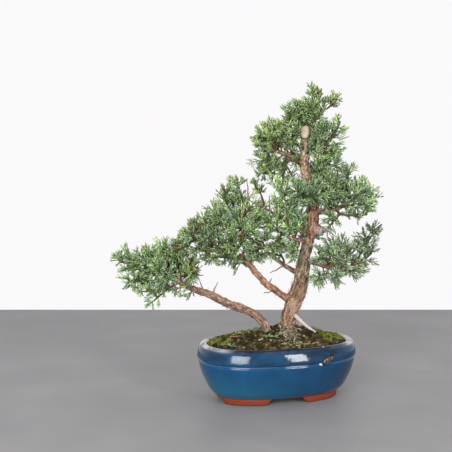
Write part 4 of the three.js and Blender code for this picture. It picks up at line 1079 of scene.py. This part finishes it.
def add_kiln_marks():
    """A dark blister of four lobes, near-black round its foot as dark glaze and painted shadow, with a
    painted glint at its lower end; and the pits that the firing left in the glaze.
    """
    parts = []
    for degrees, z, half, depth, seed in BLISTER_LOBES:
        parts.append((*blob(*on_band(degrees, z), half, depth, seed, tilt=0.6), []))
    points, faces, _ = joined(parts)
    place, outward = on_band(*BLISTER_AT)
    height = (points - place) @ outward
    # Near-black round the blister's foot, grey-brown on top: dark glaze, and painted shadow round the raised
    # lump.
    tint = mix(colour(6, 8, 18), colour(62, 56, 62), smoothstep(height, 0.7, 2.0))
    tint = mix(tint, colour(88, 82, 88), 0.4 * spots(points, 2.6, 153, 0.1, 0.7))
    # Painted glint: a pale spot on the lower end, where the light's reflection falls.
    painted_glint_reach = np.linalg.norm(points - on_band(*BLISTER_PAINTED_GLINT, out=1.0)[0], axis=1)
    tint = mix(tint, colour(214, 218, 228), smoothstep(painted_glint_reach, 1.9, 1.2))
    blister = shown("glaze_blister", points, faces, BLISTER, tint)
    parts = []
    for degrees, z, half in GLAZE_PITS:
        parts.append((*blob(*on_band(degrees, z, out=-0.35), (half, half), 0.55, 157), []))
    points, faces, _ = joined(parts)
    pits = shown("glaze_pits", points, faces, EARTH, plain_tint(colour(74, 54, 44), points))


def soil_height(places):
    """The soil's height at points of the pot, in the pot's own directions."""
    x, y = places[..., 0], places[..., 1]
    outward = np.minimum(1, oval_reach(x, y, MOUND_INSET) ** (1 / OVAL_POWER))
    foot = turned([*TRUNK_FOOT, 0], -POT_TURN)
    distance = np.hypot(x - foot[0], y - foot[1])
    lumps = np.sin(x / 5.1 + 1) * np.cos(y / 4.3) + 0.7 * np.sin((x + 2 * y) / 7.7)
    return (
        SOIL_EDGE
        + MOUND_RISE * (1 - outward**MOUND_POWER)
        + COLLAR_RISE * np.exp(-((distance / COLLAR_REACH) ** 2))
        + 0.7 * lumps * (1 - outward**4)
    )


def soil_at(x, y):
    """A point of the soil's surface under a place given in the tree's own directions."""
    inside = turned([x, y, 0.0], -POT_TURN)
    return np.array([x, y, soil_height(inside)])


# Where moss grows: x, y and how far it reaches.
MOSS_PATCHES = [
    (-62, -8, 15), (-56, -22, 12), (-50, 4, 10), (-38, 12, 12), (-20, 26, 16), (6, 36, 12),
    (30, 36, 12), (46, 24, 15), (56, 8, 14), (62, 24, 14), (50, -6, 9),
]


def moss_share(points):
    """How much moss lies at each point, in the tree's own directions."""
    share = np.zeros(len(points))
    for x, y, reach in MOSS_PATCHES:
        distance = np.hypot(points[:, 0] - x, points[:, 1] - y) / reach
        share = np.maximum(share, smoothstep(distance + 0.35 * rough(points, 7, 161), 1.0, 0.7))
    return share


def make_soil():
    angles = even_angles(SOIL_STEPS)
    shares = np.concatenate([np.linspace(1, 0.9, 8), np.linspace(0.88, 0.02, 60)])
    flat = np.concatenate([oval(angles, SOIL_INSET) * share for share in shares])
    points = np.column_stack([flat, soil_height(flat)])
    ring = np.repeat(shares, len(angles))
    crumbs = np.abs(rough(points, 2.6, 171, octaves=4)) * 2.2 + 0.8 * rough(points, 9, 173)
    points[:, 2] += (crumbs - 0.6) * smoothstep(ring, 1.0, 0.93)
    wall = [oval_row(angles, inset, z) for inset, z in SOIL_WALL]
    points = np.vstack([*wall, points, [0, 0, soil_height(np.zeros(2))]])
    rows = len(wall) + len(shares)
    peak = fan(len(points) - 1, (rows - 1) * len(angles) + np.arange(len(angles)))
    points = turned(points)
    tint = mix(colour(44, 37, 16), colour(114, 102, 64), spots(points, 4, 177, -0.2, 0.7))
    tint = mix(tint, colour(17, 14, 5), spots(points, 2.2, 179, 0.0, 0.5))
    tint = mix(tint, colour(74, 78, 30), 0.6 * moss_share(points))
    soil = shown("soil_fine", points, [grid_faces(rows, len(angles)), peak], EARTH, tint)
    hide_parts("soil")


def pebble_form():
    """A lumpy ball one across, as points and faces."""
    ball = bmesh.new()
    bmesh.ops.create_icosphere(ball, subdivisions=2, radius=0.5)
    points = np.array([vertex.co for vertex in ball.verts])
    faces = np.array([[vertex.index for vertex in face.verts] for face in ball.faces])
    ball.free()
    return points, faces


def scatter_in_pot(count, rng, inset=8.5):
    """Places on the soil, evenly spread and clear of the trunk."""
    places = []
    while len(places) < count:
        x, y = rng.uniform(-1, 1) * RIM_HALF_LENGTH, rng.uniform(-1, 1) * RIM_HALF_WIDTH
        place = turned([x, y, 0.0])
        off_trunk = math.hypot(place[0] - TRUNK_FOOT[0], place[1] - TRUNK_FOOT[1])
        if oval_reach(x, y, inset) < 1 and off_trunk > TRUNK_CLEARANCE:
            places.append(soil_at(place[0], place[1]))
    return np.array(places)


# The colours of the soil's grains, and how many there are of each.
GRAIN_TONES = ((74, 62, 36), (34, 27, 12), (124, 112, 76), (104, 72, 44), (150, 140, 112))
GRAIN_SHARES = (0.34, 0.34, 0.2, 0.06, 0.06)


def make_grains():
    """Crumbs of fired clay, grit and bark that lie in the soil."""
    rng = np.random.default_rng(SEEDS["grains"])
    ball, ball_faces = pebble_form()
    places = scatter_in_pot(GRAINS, rng)
    keep = moss_share(places) < rng.uniform(0.1, 1.0, len(places))
    parts = []
    for place in places[keep]:
        size = rng.uniform(1.0, 3.0) ** 1.1 * np.array([1, rng.uniform(0.6, 1.0), rng.uniform(0.4, 0.8)])
        spin = rng.uniform(0, 2 * np.pi)
        lump = ball * (1 + 0.28 * noise(ball * 3.1 + rng.uniform(0, 50), 1, 3))[:, None] * size
        lump = turned(lump, spin) + place + [0, 0, size[2] * 0.2]
        tone = colour(*GRAIN_TONES[rng.choice(len(GRAIN_TONES), p=GRAIN_SHARES)])
        tone = tone * rng.uniform(0.75, 1.2)
        parts.append((lump, [ball_faces], [plain_tint(tone, lump)]))
    points, faces, (tint,) = joined(parts)
    grains = shown("soil_grains", points, faces, EARTH, tint, sharp=True)


def make_moss():
    """Low cushions of moss: short soft blades, close together."""
    rng = np.random.default_rng(SEEDS["moss"])
    places = scatter_in_pot(MOSS_BLADES, rng, inset=7.4)
    places[:, 2] += 1.3 * spots(places, 9, 227, -0.3, 0.8)
    share = moss_share(places)
    places = places[rng.random(len(places)) < share]
    count = len(places)
    height = rng.uniform(0.9, 2.6, count) * (0.8 + 0.8 * rough(places, 5, 229))
    lean = rng.normal(0, 0.35, (count, 2))
    spin = rng.uniform(0, 2 * np.pi, count)
    half = rng.uniform(0.22, 0.42, count)
    corners = []
    for k in range(3):
        angle = spin + k * 2 * np.pi / 3
        aside = np.column_stack([np.cos(angle) * half, np.sin(angle) * half, np.zeros(count)])
        corners.append(places + aside)
    tips = places + np.column_stack([lean * height[:, None], height + 0.7])
    points = np.stack([*corners, tips], axis=1).reshape(-1, 3)
    start = np.arange(count)[:, None] * 4
    faces = np.concatenate([start + sides for sides in ([0, 1, 3], [1, 2, 3], [2, 0, 3], [2, 1, 0])])
    tone = mix(colour(82, 90, 20), colour(216, 214, 118), rng.random(count) ** 1.35)
    tone = mix(tone, colour(34, 30, 8), spots(places, 4.5, 231, 0.0, 0.4))
    tint = np.repeat(tone[:, None], 4, axis=1)
    # Painted shade: each blade's three foot points are painted at three tenths of its tone, as shade inside
    # the cushion.
    tint[:, :3] *= 0.3
    moss = shown("moss", points, [faces], MOSS, tint.reshape(-1, 3))


# Green sprigs that have dropped on the soil: x, y, direction, length, and how broad they are.
FALLEN_SPRIGS = [
    (-16, -22, -0.13, 15, 3.4),
    (-56, -29, -0.59, 12, 3.6),
    (-32, 6, -0.54, 17, 4.4),
    (17, -31, 0.3, 7, 3.0),
    (34, 22, 0.9, 13, 4.0),
]


def make_fallen_sprigs():
    """Each sprig is a row of short shoots, one after the other."""
    rng = np.random.default_rng(SEEDS["fallen"])
    bases, tips = [], []
    for x, y, angle, length, broad in FALLEN_SPRIGS:
        place = np.array([x, y], float)
        count = round(length / 3.4)
        for _ in range(count):
            turn = angle + rng.normal(0, 0.22)
            way = np.array([math.cos(turn), math.sin(turn)])
            bases.append(soil_at(*place) + [0, 0, 1.7])
            tips.append(soil_at(*(place + way * broad * 1.25)) + [0, 0, rng.uniform(1.7, 2.6)])
            place = place + way * length / count
    skins = dress_shoots(np.array(bases), np.array(tips), "fallen", rng)
    points, polygons, (tint, along) = joined(skins)
    sprigs = shown("fallen_sprigs", points, polygons, LEAF, tint * 0.65, along)


# The clump of pale lichen: its middle, its spread and its threads.
LICHEN_AT = (12, -20)
LICHEN_SPREAD = (4.8, 6.5)
LICHEN_THREADS = 170
# Strips of bark on the soil: x, y, length, width and direction.
BARK_STRIPS = [
    (-48, -8, 12, 2.6, -0.5), (24, -30, 8, 2.0, -0.5), (33, -27, 6, 1.8, 0.4),
    (38, -32, 7, 2.2, -0.3), (-20, -30, 6, 1.6, 0.6), (2, -34, 7, 1.7, -0.2),
]
# Pebbles: x, y, size and colour.
PEBBLES = [
    (-38, 5, 3.2, (190, 184, 156)),
    (21, -28, 2.4, (168, 150, 122)),
    (30, -25, 2.0, (158, 132, 96)),
    (39, -23, 2.2, (150, 132, 106)),
    (-12, -37, 1.9, (146, 122, 84)),
]


def lichen_thread(rng):
    """A short crooked thread of lichen, as points, faces and tint."""
    x, y = (middle + rng.normal(0, spread) for middle, spread in zip(LICHEN_AT, LICHEN_SPREAD))
    line = [soil_at(x, y) + [0, 0, rng.uniform(-0.5, 4.0)]]
    way = unit(rng.normal(size=3) * [1, 1, 0.7])
    for _ in range(4):
        way = unit(way + 0.75 * rng.normal(size=3) * [1, 1, 0.6])
        line.append(line[-1] + way * rng.uniform(0.9, 1.9))
    half = rng.uniform(0.2, 0.45)
    route = [(*point, half * (1 - 0.12 * i)) for i, point in enumerate(line)]
    points, faces, _ = limb_skin(route, 6, 0.8, 251)
    tone = mix(colour(74, 64, 44), colour(190, 182, 158), rng.random() ** 0.8)
    return points, faces, [plain_tint(tone, points)]


def make_litter():
    """What lies on the soil: pale lichen, curls of bark and pebbles."""
    rng = np.random.default_rng(SEEDS["litter"])
    parts = [lichen_thread(rng) for _ in range(LICHEN_THREADS)]
    for x, y, length, width, angle in BARK_STRIPS:
        start = soil_at(x, y) + [0, 0, 1.3]
        ahead = unit(np.array([math.cos(angle), math.sin(angle), 0.05]))
        parts.append(curl_of_bark(start, np.array([0, -0.3, 0.95]), ahead, length, width, 1.2, rng))
    ball, ball_faces = pebble_form()
    for x, y, size, tone in PEBBLES:
        lump = ball * (1 + 0.2 * noise(ball * 3 + x, 1, 5))[:, None] * np.array([1.15, 1, 0.8]) * size
        lump = lump + soil_at(x, y) + [0, 0, size * 0.3]
        parts.append((lump, [ball_faces], [plain_tint(colour(*tone), lump)]))
    points, faces, (tint,) = joined(parts)
    litter = shown("litter", points, faces, EARTH, tint)


# The foliage.


MERGE_STEPS = 500  # points in the same step of this many to a millimetre are one point


def merged_mesh(node):
    """A solid's points in millimetres, its triangles, each corner's point counted once."""
    places, triangles = mesh_arrays(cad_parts[node].data)
    places = (places - ORIGIN) / MM
    steps = np.round(places * MERGE_STEPS).astype(int)
    _, first, member = np.unique(steps, axis=0, return_index=True, return_inverse=True)
    return places[first], member.ravel()[triangles]


def split_shoots(points, triangles):
    """The bases and tips of a bunch's shoots, and the faces of its skin without them."""
    fans = {}
    for triangle in triangles:
        for place in range(3):
            apex, first, second = np.roll(triangle, -place)
            fans.setdefault(apex, {})[first] = second
    bases, tips, apexes, faces = [], [], set(), []
    for apex, ring in fans.items():
        if len(ring) != 4:
            continue
        loop = [next(iter(ring))]
        while len(loop) < 4 and ring.get(loop[-1]) is not None:
            loop.append(ring[loop[-1]])
        base = points[loop].mean(axis=0)
        half = np.linalg.norm(points[loop] - base, axis=1).max()
        if np.linalg.norm(points[apex] - base) < max(SHORTEST_SHOOT, 2 * half):
            continue
        bases.append(base)
        tips.append(points[apex])
        apexes.add(apex)
        faces.append(loop)
    for triangle in triangles:
        if not apexes.intersection(triangle):
            faces.append(list(triangle))
    return np.array(bases), np.array(tips), faces


def rounded(points, faces, levels):
    """The same skin with its edges rounded off, as points and triangles."""
    mesh = bpy.data.meshes.new("rounding")
    used = sorted({corner for face in faces for corner in face})
    number = {old: new for new, old in enumerate(used)}
    mesh.from_pydata(points[used].tolist(), [], [[number[corner] for corner in face] for face in faces])
    source = placed("rounding", mesh)
    source.modifiers.new("round", "SUBSURF").levels = levels
    smooth = source.evaluated_get(bpy.context.evaluated_depsgraph_get())
    places, triangles = mesh_arrays(smooth.to_mesh())
    bpy.data.objects.remove(source)
    return places.astype(float), triangles


# Openings between the bunches, as x, z, half width, half height, and how far back they reach. The
# first four show the wood, and the others the background.
OPENINGS = [
    (26.5, 265.5, 5.3, 7.1, -3.2), (42.5, 167, 4.4, 5.1, 0), (27.5, 228, 5.0, 12, 2),
    (34.5, 172, 7.0, 13, 2), (51, 285, 5, 6.5, 60), (70, 177, 9, 4.5, 60),
]


def clear_of_openings(start, way, length):
    """Which cords leave the openings free."""
    seen = np.ones(len(start), bool)
    for x, z, half_width, half_height, back in OPENINGS:
        for share in (0.0, 0.35, 0.7, 1.0):
            place = start + way * (length * share)[:, None]
            near = np.hypot((place[:, 0] - x) / half_width, (place[:, 2] - z) / half_height) < 1
            seen &= ~(near & (place[:, 1] < back))
    return seen


def cord_skin(start, way, length, half, bend, base_tint, tip_tint, sides, rings):
    """Scale-leaf cords with the same count of sides and rings, as one skin."""
    count = len(start)
    t = np.linspace(0, 0.93, rings)[None, :, None]
    line = start[:, None] + length[:, None, None] * (way[:, None] * t + bend[:, None] * t * t)
    side = unit(np.cross(way, [0.37, 0.21, 0.90]))
    other = np.cross(way, side)
    angles = np.arange(sides) / sides * 2 * np.pi
    swell = np.where(np.arange(rings) % 2 == 0, 1.0, 0.8) * np.linspace(1.0, 0.82, rings)
    phase = (np.arange(rings) % 2) * math.pi / sides
    turn = (angles[None, :] + phase[:, None])[None, ..., None]
    ring = np.cos(turn) * side[:, None, None] + np.sin(turn) * other[:, None, None]
    skin = line[:, :, None] + ring * (half[:, None] * swell[None])[:, :, None, None]
    tips = start + length[:, None] * (way + bend) + way * half[:, None] * 0.6
    points = np.concatenate([skin.reshape(count, -1, 3), tips[:, None]], axis=1)
    each = rings * sides + 1
    shift = (np.arange(count) * each)[:, None, None]
    quads = (grid_faces(rings, sides)[None] + shift).reshape(-1, 4)
    cap = fan(each - 1, np.arange(sides) + (rings - 1) * sides)[:, [1, 2, 0]]
    caps = (cap[None] + shift).reshape(-1, 3)
    share = np.concatenate([np.repeat(t.ravel(), sides), [1.0]])
    tint = mix(base_tint[:, None], tip_tint[:, None], (share**1.3)[None].repeat(count, 0))
    along = share[None] * length[:, None]
    return points.reshape(-1, 3), [quads, caps], [tint.reshape(-1, 3), along.ravel()]


def side_cords(start, axis, length, rng, count, angle, share):
    """Side cords along cords, alternately on either side: starts, ways, lengths and owners."""
    plane = unit(np.cross(axis, rng.normal(size=axis.shape)))
    other = np.cross(axis, plane)
    columns = []
    for k in range(count):
        t = 0.14 + 0.74 * (k + rng.uniform(0.15, 0.85, len(start))) / count
        swing = rng.normal(0, 0.4, len(start))
        aside = plane * np.cos(swing)[:, None] * (1 if k % 2 else -1) + other * np.sin(swing)[:, None]
        lean = rng.normal(angle, 0.12, len(start))
        way = unit(axis * np.cos(lean)[:, None] + aside * np.sin(lean)[:, None])
        size = length * share * (1.15 - 0.75 * t) * rng.uniform(0.8, 1.2, len(start))
        columns.append((start + axis * (length * t)[:, None], way, size, np.arange(len(start))))
    starts, ways, sizes, owners = (np.concatenate(column) for column in zip(*columns))
    seen = clear_of_openings(starts, ways, sizes)
    return starts[seen], ways[seen], sizes[seen], owners[seen]


# The leaves' blue, green and fresh tones, by a word of the bunch's name.
LEAF_TONES = {
    "low_right": (colour(148, 170, 150), colour(166, 188, 152), colour(190, 210, 168)),
    "low_": (colour(146, 180, 146), colour(168, 198, 134), colour(202, 226, 160)),
    "right": (colour(142, 172, 144), colour(164, 192, 134), colour(196, 218, 158)),
    "crown": (colour(138, 166, 118), colour(166, 190, 114), colour(200, 220, 142)),
    "top": (colour(144, 174, 128), colour(170, 194, 122), colour(204, 222, 150)),
    "usual": (colour(138, 170, 138), colour(160, 188, 126), colour(192, 216, 150)),
}
TIP_TONE = colour(204, 224, 168)
# Bunches painted dark as in deep shade, bunches painted a little darker as in some shade, and bunches
# painted pale as in full light.
BUNCH_LIGHT = {
    **dict.fromkeys(("spray_mid_front", "spray_crown_inner", "spray_low_right_tip"), 0.55),
    **dict.fromkeys(("spray_mid_crest", "spray_mid_under", "spray_crown_left_heel"), 0.66),
    **dict.fromkeys(("spray_right_front", "spray_right_crest", "spray_low_right_crest"), 0.74),
    **dict.fromkeys(("spray_centre_near", "spray_centre_high", "spray_trunk_left"), 1.3),
    **dict.fromkeys(("spray_low_drop", "spray_right_tip", "spray_low_right_under"), 1.3),
}
# Painted shade: how much darker and yellower a cord is painted where it leaves its own.
DEEP_SHADE = np.array([0.22, 0.27, 0.1])
SIDE_SHADE = np.array([0.36, 0.41, 0.22])
DEAD_TONE = colour(150, 100, 62)


def foliage_tones(name, bases, rng):
    """A colour for each shoot: blue-green in the shade of others, fresher where it is young, and painted
    darker for shaded bunches and paler for lit ones.
    """
    place = next((word for word in LEAF_TONES if word in name), "usual")
    blue, green, fresh = LEAF_TONES[place]
    drift = noise(bases, 22, 301) + 0.45 * rng.normal(size=len(bases))
    tone = mix(blue, green, smoothstep(drift, -0.8, 0.8))
    tone = mix(tone, fresh, smoothstep(rng.random(len(bases)) + 0.3 * drift, 0.6, 1.05) * 0.8)
    tone = tone * rng.uniform(0.5, 1.45, (len(bases), 1)) * BUNCH_LIGHT.get(name, 1.0)
    dead = rng.random(len(bases)) < DEAD_SHARE
    tone[dead] = DEAD_TONE
    return tone, dead


def dress_shoots(bases, tips, name, rng):
    """Each shoot as a leading cord with side cords, which have short cords of their own: a list of
    skins."""
    axis = unit(tips - bases)
    start = bases - axis * 0.6
    length = np.linalg.norm(tips - bases, axis=1) * rng.uniform(*LEADER_STRETCH, len(bases))
    seen = clear_of_openings(start, axis, length)
    bases, start, axis, length = bases[seen], start[seen], axis[seen], length[seen]
    tone, dead = foliage_tones(name, bases, rng)
    rise = CORD_LIFT + 0.06 * rng.normal(size=(len(bases), 3))
    tip = mix(tone * 1.15, TIP_TONE, np.where(dead, 0, 0.45))
    half = np.full(len(bases), CORD_HALF)
    rows = [(start, axis, length, half, rise, tone * DEEP_SHADE, tip, 4, 5)]
    starts, ways, lengths, owner = side_cords(start, axis, length, rng, SIDE_CORDS, SIDE_ANGLE, SIDE_SHARE)
    side_tone = tone[owner] * rng.uniform(0.42, 1.5, (len(starts), 1))
    side_tip = mix(side_tone * 1.1, TIP_TONE, np.where(dead[owner], 0, rng.uniform(0.0, 0.5, len(starts))))
    forward = axis[owner] * 0.2 + CORD_LIFT
    half = np.full(len(starts), CORD_HALF * 0.88)
    rows.append((starts, ways, lengths, half, forward, side_tone * SIDE_SHADE, side_tip, 3, 4))
    long = lengths > LONG_SIDE_CORD
    starts, ways, lengths, sub = side_cords(
        starts[long], ways[long], lengths[long], rng, END_CORDS, SIDE_ANGLE, END_SHARE
    )
    # End cords start darker than their side cord: painted shade where they leave it.
    tone, tip = side_tone[long][sub] * 0.8, side_tip[long][sub]
    half = np.full(len(starts), CORD_HALF * 0.8)
    rows.append((starts, ways, lengths, half, np.tile(CORD_LIFT, (len(starts), 1)), tone, tip, 3, 2))
    return [cord_skin(*row) for row in rows if len(row[0])]


def fill_shoots(bases, tips, droop, rng):
    """More shoots from the places of some of them, turned aside and let down by the droop."""
    chosen = rng.random(len(bases)) < FILL_SHARE
    base, reach = bases[chosen], (tips - bases)[chosen]
    length = np.linalg.norm(reach, axis=1, keepdims=True)
    axis = reach / length
    aside = unit(np.cross(axis, rng.normal(size=axis.shape)))
    lean = rng.uniform(0.4, 0.85, (len(base), 1))
    way = unit(axis * np.cos(lean) + aside * np.sin(lean) - [0, 0, droop])
    return base, base + way * length * rng.uniform(0.7, 1.0, (len(base), 1))


def make_spray(node, seed, wood_tree):
    rng = np.random.default_rng(seed)
    points, triangles = merged_mesh(node)
    bases, tips, faces = split_shoots(points, triangles)
    twig_points, twig_triangles = rounded(points, faces, 1)
    droop = LOW_DROOP if "spray_low_" in node else USUAL_DROOP
    more_bases, more_tips = fill_shoots(bases, tips, droop, rng)
    parts = dress_shoots(np.vstack([bases, more_bases]), np.vstack([tips, more_tips]), node, rng)
    brown = mix(colour(76, 66, 42), colour(64, 84, 48), spots(twig_points, 6, 311, -0.3, 0.5))
    parts.append((twig_points, [twig_triangles], [brown, np.zeros(len(twig_points))]))
    parts.append(seat_twig(points, wood_tree))
    points, polygons, (tint, along) = joined(parts)
    piece = shown(node.replace("spray", "foliage"), points, polygons, LEAF, tint, along)
    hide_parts(node)


TWIG_RISE = np.array([0, 0, 1.5])  # how far a leafy twig curves up


def make_leafy_twigs(name, seed):
    """Short twigs with foliage that stand straight on a stretch of a limb."""
    rng = np.random.default_rng(seed)
    start, end, count, size, lean = LEAFY_TWIGS[name]
    line = smooth_line(TRUNK if name.startswith("trunk") else LIMBS[name], 1.0)
    ahead, sides, others = carried_frames(line[:, :3])
    parts, bases, tips = [], [], []
    turn = rng.uniform(0, 2 * np.pi)
    for k in range(count):
        i = int((start + (end - start) * (k + rng.random()) / count) * (len(line) - 2))
        turn += 2.4 + rng.normal(0, 0.3)
        outward = math.cos(turn) * sides[i] + math.sin(turn) * others[i]
        if lean:
            outward = unit(outward + 1.6 * np.array(lean))
        way = unit(outward + 0.45 * ahead[i] + [0, 0, 0.2])
        length = size * rng.uniform(0.75, 1.2)
        root = line[i, :3] + way * line[i, 3] * 0.6
        stem = root + np.array([way * length * t + TWIG_RISE * t * t for t in np.linspace(0, 1, 6)])
        route = np.column_stack([stem, np.linspace(0.95, 0.6, 6)])
        skin, faces, (tint,) = limb_skin(route, 6, 1.4, 341)
        # The twig's bark is painted darker: painted shade inside the foliage.
        parts.append((skin, faces, [tint * 0.6, np.zeros(len(skin))]))
        side = unit(np.cross(way, rng.normal(size=3)))
        places = np.linspace(0.25, 1.0, max(4, round(length / 2.2)))
        for j, t in enumerate(places):
            base = root + way * length * t + TWIG_RISE * t * t
            spread = 0 if j == len(places) - 1 else 0.95
            swing = rng.normal(0, 0.5)
            aside = side * math.cos(swing) + np.cross(way, side) * math.sin(swing)
            shoot = unit(way + aside * (spread if j % 2 else -spread) + [0, 0, 0.12])
            bases.append(base)
            tips.append(base + shoot * rng.uniform(6.0, 9.0) * (1.1 - 0.3 * t))
    parts += dress_shoots(np.array(bases), np.array(tips), name, rng)
    points, polygons, (tint, along) = joined(parts)
    piece = shown(f"leafy_twigs_{name}", points, polygons, LEAF, tint, along)


def seat_twig(points, wood_tree):
    """The short twig that carries a bunch's foot into its limb."""
    nearest = [wood_tree.find_nearest(Vector(point)) for point in points]
    i = min(range(len(points)), key=lambda index: nearest[index][3])
    place = np.array(nearest[i][0])
    way = unit(points[i] - place)
    line = [place - way * 1.2, place, points[i] + way * 1.0, points[i] + way * 1.6]
    route = np.column_stack([line, (1.0, 1.0, 0.95, 0.9)])
    skin, faces, (tint,) = limb_skin(route, 8, 0.8, 331)
    # The twig's bark is painted darker: painted shade inside the foliage.
    return skin, faces, [tint * 0.6, np.zeros(len(skin))]


def make_foliage():
    wood_points, wood_triangles = merged_mesh("wood")
    wood_tree = BVHTree.FromPolygons(wood_points.tolist(), wood_triangles.tolist())
    sprays = sorted(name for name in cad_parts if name.startswith("spray_"))
    for i, node in enumerate(sprays):
        make_spray(node, SEEDS["sprays"] + i, wood_tree)
    for i, name in enumerate(LEAFY_TWIGS):
        make_leafy_twigs(name, SEEDS["leafy_twigs"] + i)


# The stage.

# Where the softboxes point, and how far from it they stand.
POT_MIDDLE = (0, 0, 48)
SOFTBOX_DISTANCE = 1700
# Each softbox: azimuth, elevation, size in metres and power in watts.
SOFTBOXES = [("softbox_left", -17, 17, (0.8, 0.95), 33), ("softbox_right", 38.5, 16, (0.27, 0.9), 15)]
# The walls' light: it goes from one strength to the other between two directions, front to back.
STUDIO_LIGHT = (-0.3, 0.3, 0.62, 0.96)


def make_floor():
    """A plain satin table, whose far edge stands behind the pot."""
    half, end = FLOOR_REACH * MM, ORIGIN[1] + TABLE_END * MM
    level = cad_low[2] - FLOOR_GAP * MM
    mesh = bpy.data.meshes.new("floor")
    corners = [(-half, -half, level), (half, -half, level), (half, end, level), (-half, end, level)]
    mesh.from_pydata(corners, [], [(0, 1, 2, 3)])
    shader = Shader("grey_table")
    clouds = shader.span(shader.noise(90, detail=2), 0.3, 0.7)
    shader.paint(shader.blend(clouds, (0.22, 0.218, 0.222), (0.255, 0.25, 0.254)))
    shader.set(Roughness=0.6, Specular_IOR_Level=0.3)
    mesh.materials.append(shader.material)
    placed("floor", mesh)


def add_softbox(name, at, size, power):
    """A soft light that is turned to the middle of the pot."""
    light = bpy.data.lights.new(name, "AREA")
    light.shape = "RECTANGLE"
    light.size, light.size_y = size
    light.energy = power
    lamp = placed(name, light)
    lamp.location = np.array(at) * MM + ORIGIN
    way = (np.array(POT_MIDDLE) - np.array(at)) * MM
    lamp.rotation_euler = Vector(way).to_track_quat("-Z", "Y").to_euler()


def around_pot(azimuth, elevation, distance):
    """A place round the pot: azimuth 0 is in front of it, and more is to the right."""
    turn, rise = math.radians(azimuth), math.radians(elevation)
    flat = distance * math.cos(rise)
    return (flat * math.sin(turn), -flat * math.cos(turn), distance * math.sin(rise) + POT_MIDDLE[2])


def make_light():
    world = bpy.data.worlds.new("studio")
    world.use_nodes = True
    tree = world.node_tree
    background = tree.nodes["Background"]
    background.inputs["Color"].default_value = (1.0, 0.985, 1.0, 1)
    split = tree.nodes.new("ShaderNodeSeparateXYZ")
    tree.links.new(tree.nodes.new("ShaderNodeTexCoord").outputs["Generated"], split.inputs[0])
    strength = tree.nodes.new("ShaderNodeMapRange")
    for name, number in zip(("From Min", "From Max", "To Min", "To Max"), STUDIO_LIGHT):
        strength.inputs[name].default_value = number
    tree.links.new(split.outputs["Y"], strength.inputs["Value"])
    tree.links.new(strength.outputs["Result"], background.inputs["Strength"])
    bpy.context.scene.world = world
    bpy.context.scene.view_settings.view_transform = "Standard"
    for name, azimuth, elevation, size, power in SOFTBOXES:
        add_softbox(name, around_pot(azimuth, elevation, SOFTBOX_DISTANCE), size, power)


def make_camera():
    data = bpy.data.cameras.new("camera")
    data.lens = CAMERA_LENS
    data.sensor_width = SENSOR
    data.clip_start = 0.05
    data.clip_end = 20
    camera = placed("camera", data)
    camera.location = np.array(CAMERA_AT) * MM + ORIGIN
    camera.rotation_euler = (math.pi / 2 - CAMERA_DOWN, 0, 0)
    bpy.context.scene.camera = camera


def dress_screens():
    for name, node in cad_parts.items():
        if name.startswith("drain_screen"):
            node.data.materials.clear()
            node.data.materials.append(SCREEN)


make_pot()
make_soil()
make_grains()
make_moss()
make_litter()
make_fallen_sprigs()
make_wood()
make_pastes()
make_foliage()
dress_screens()
make_floor()
make_light()
make_camera()
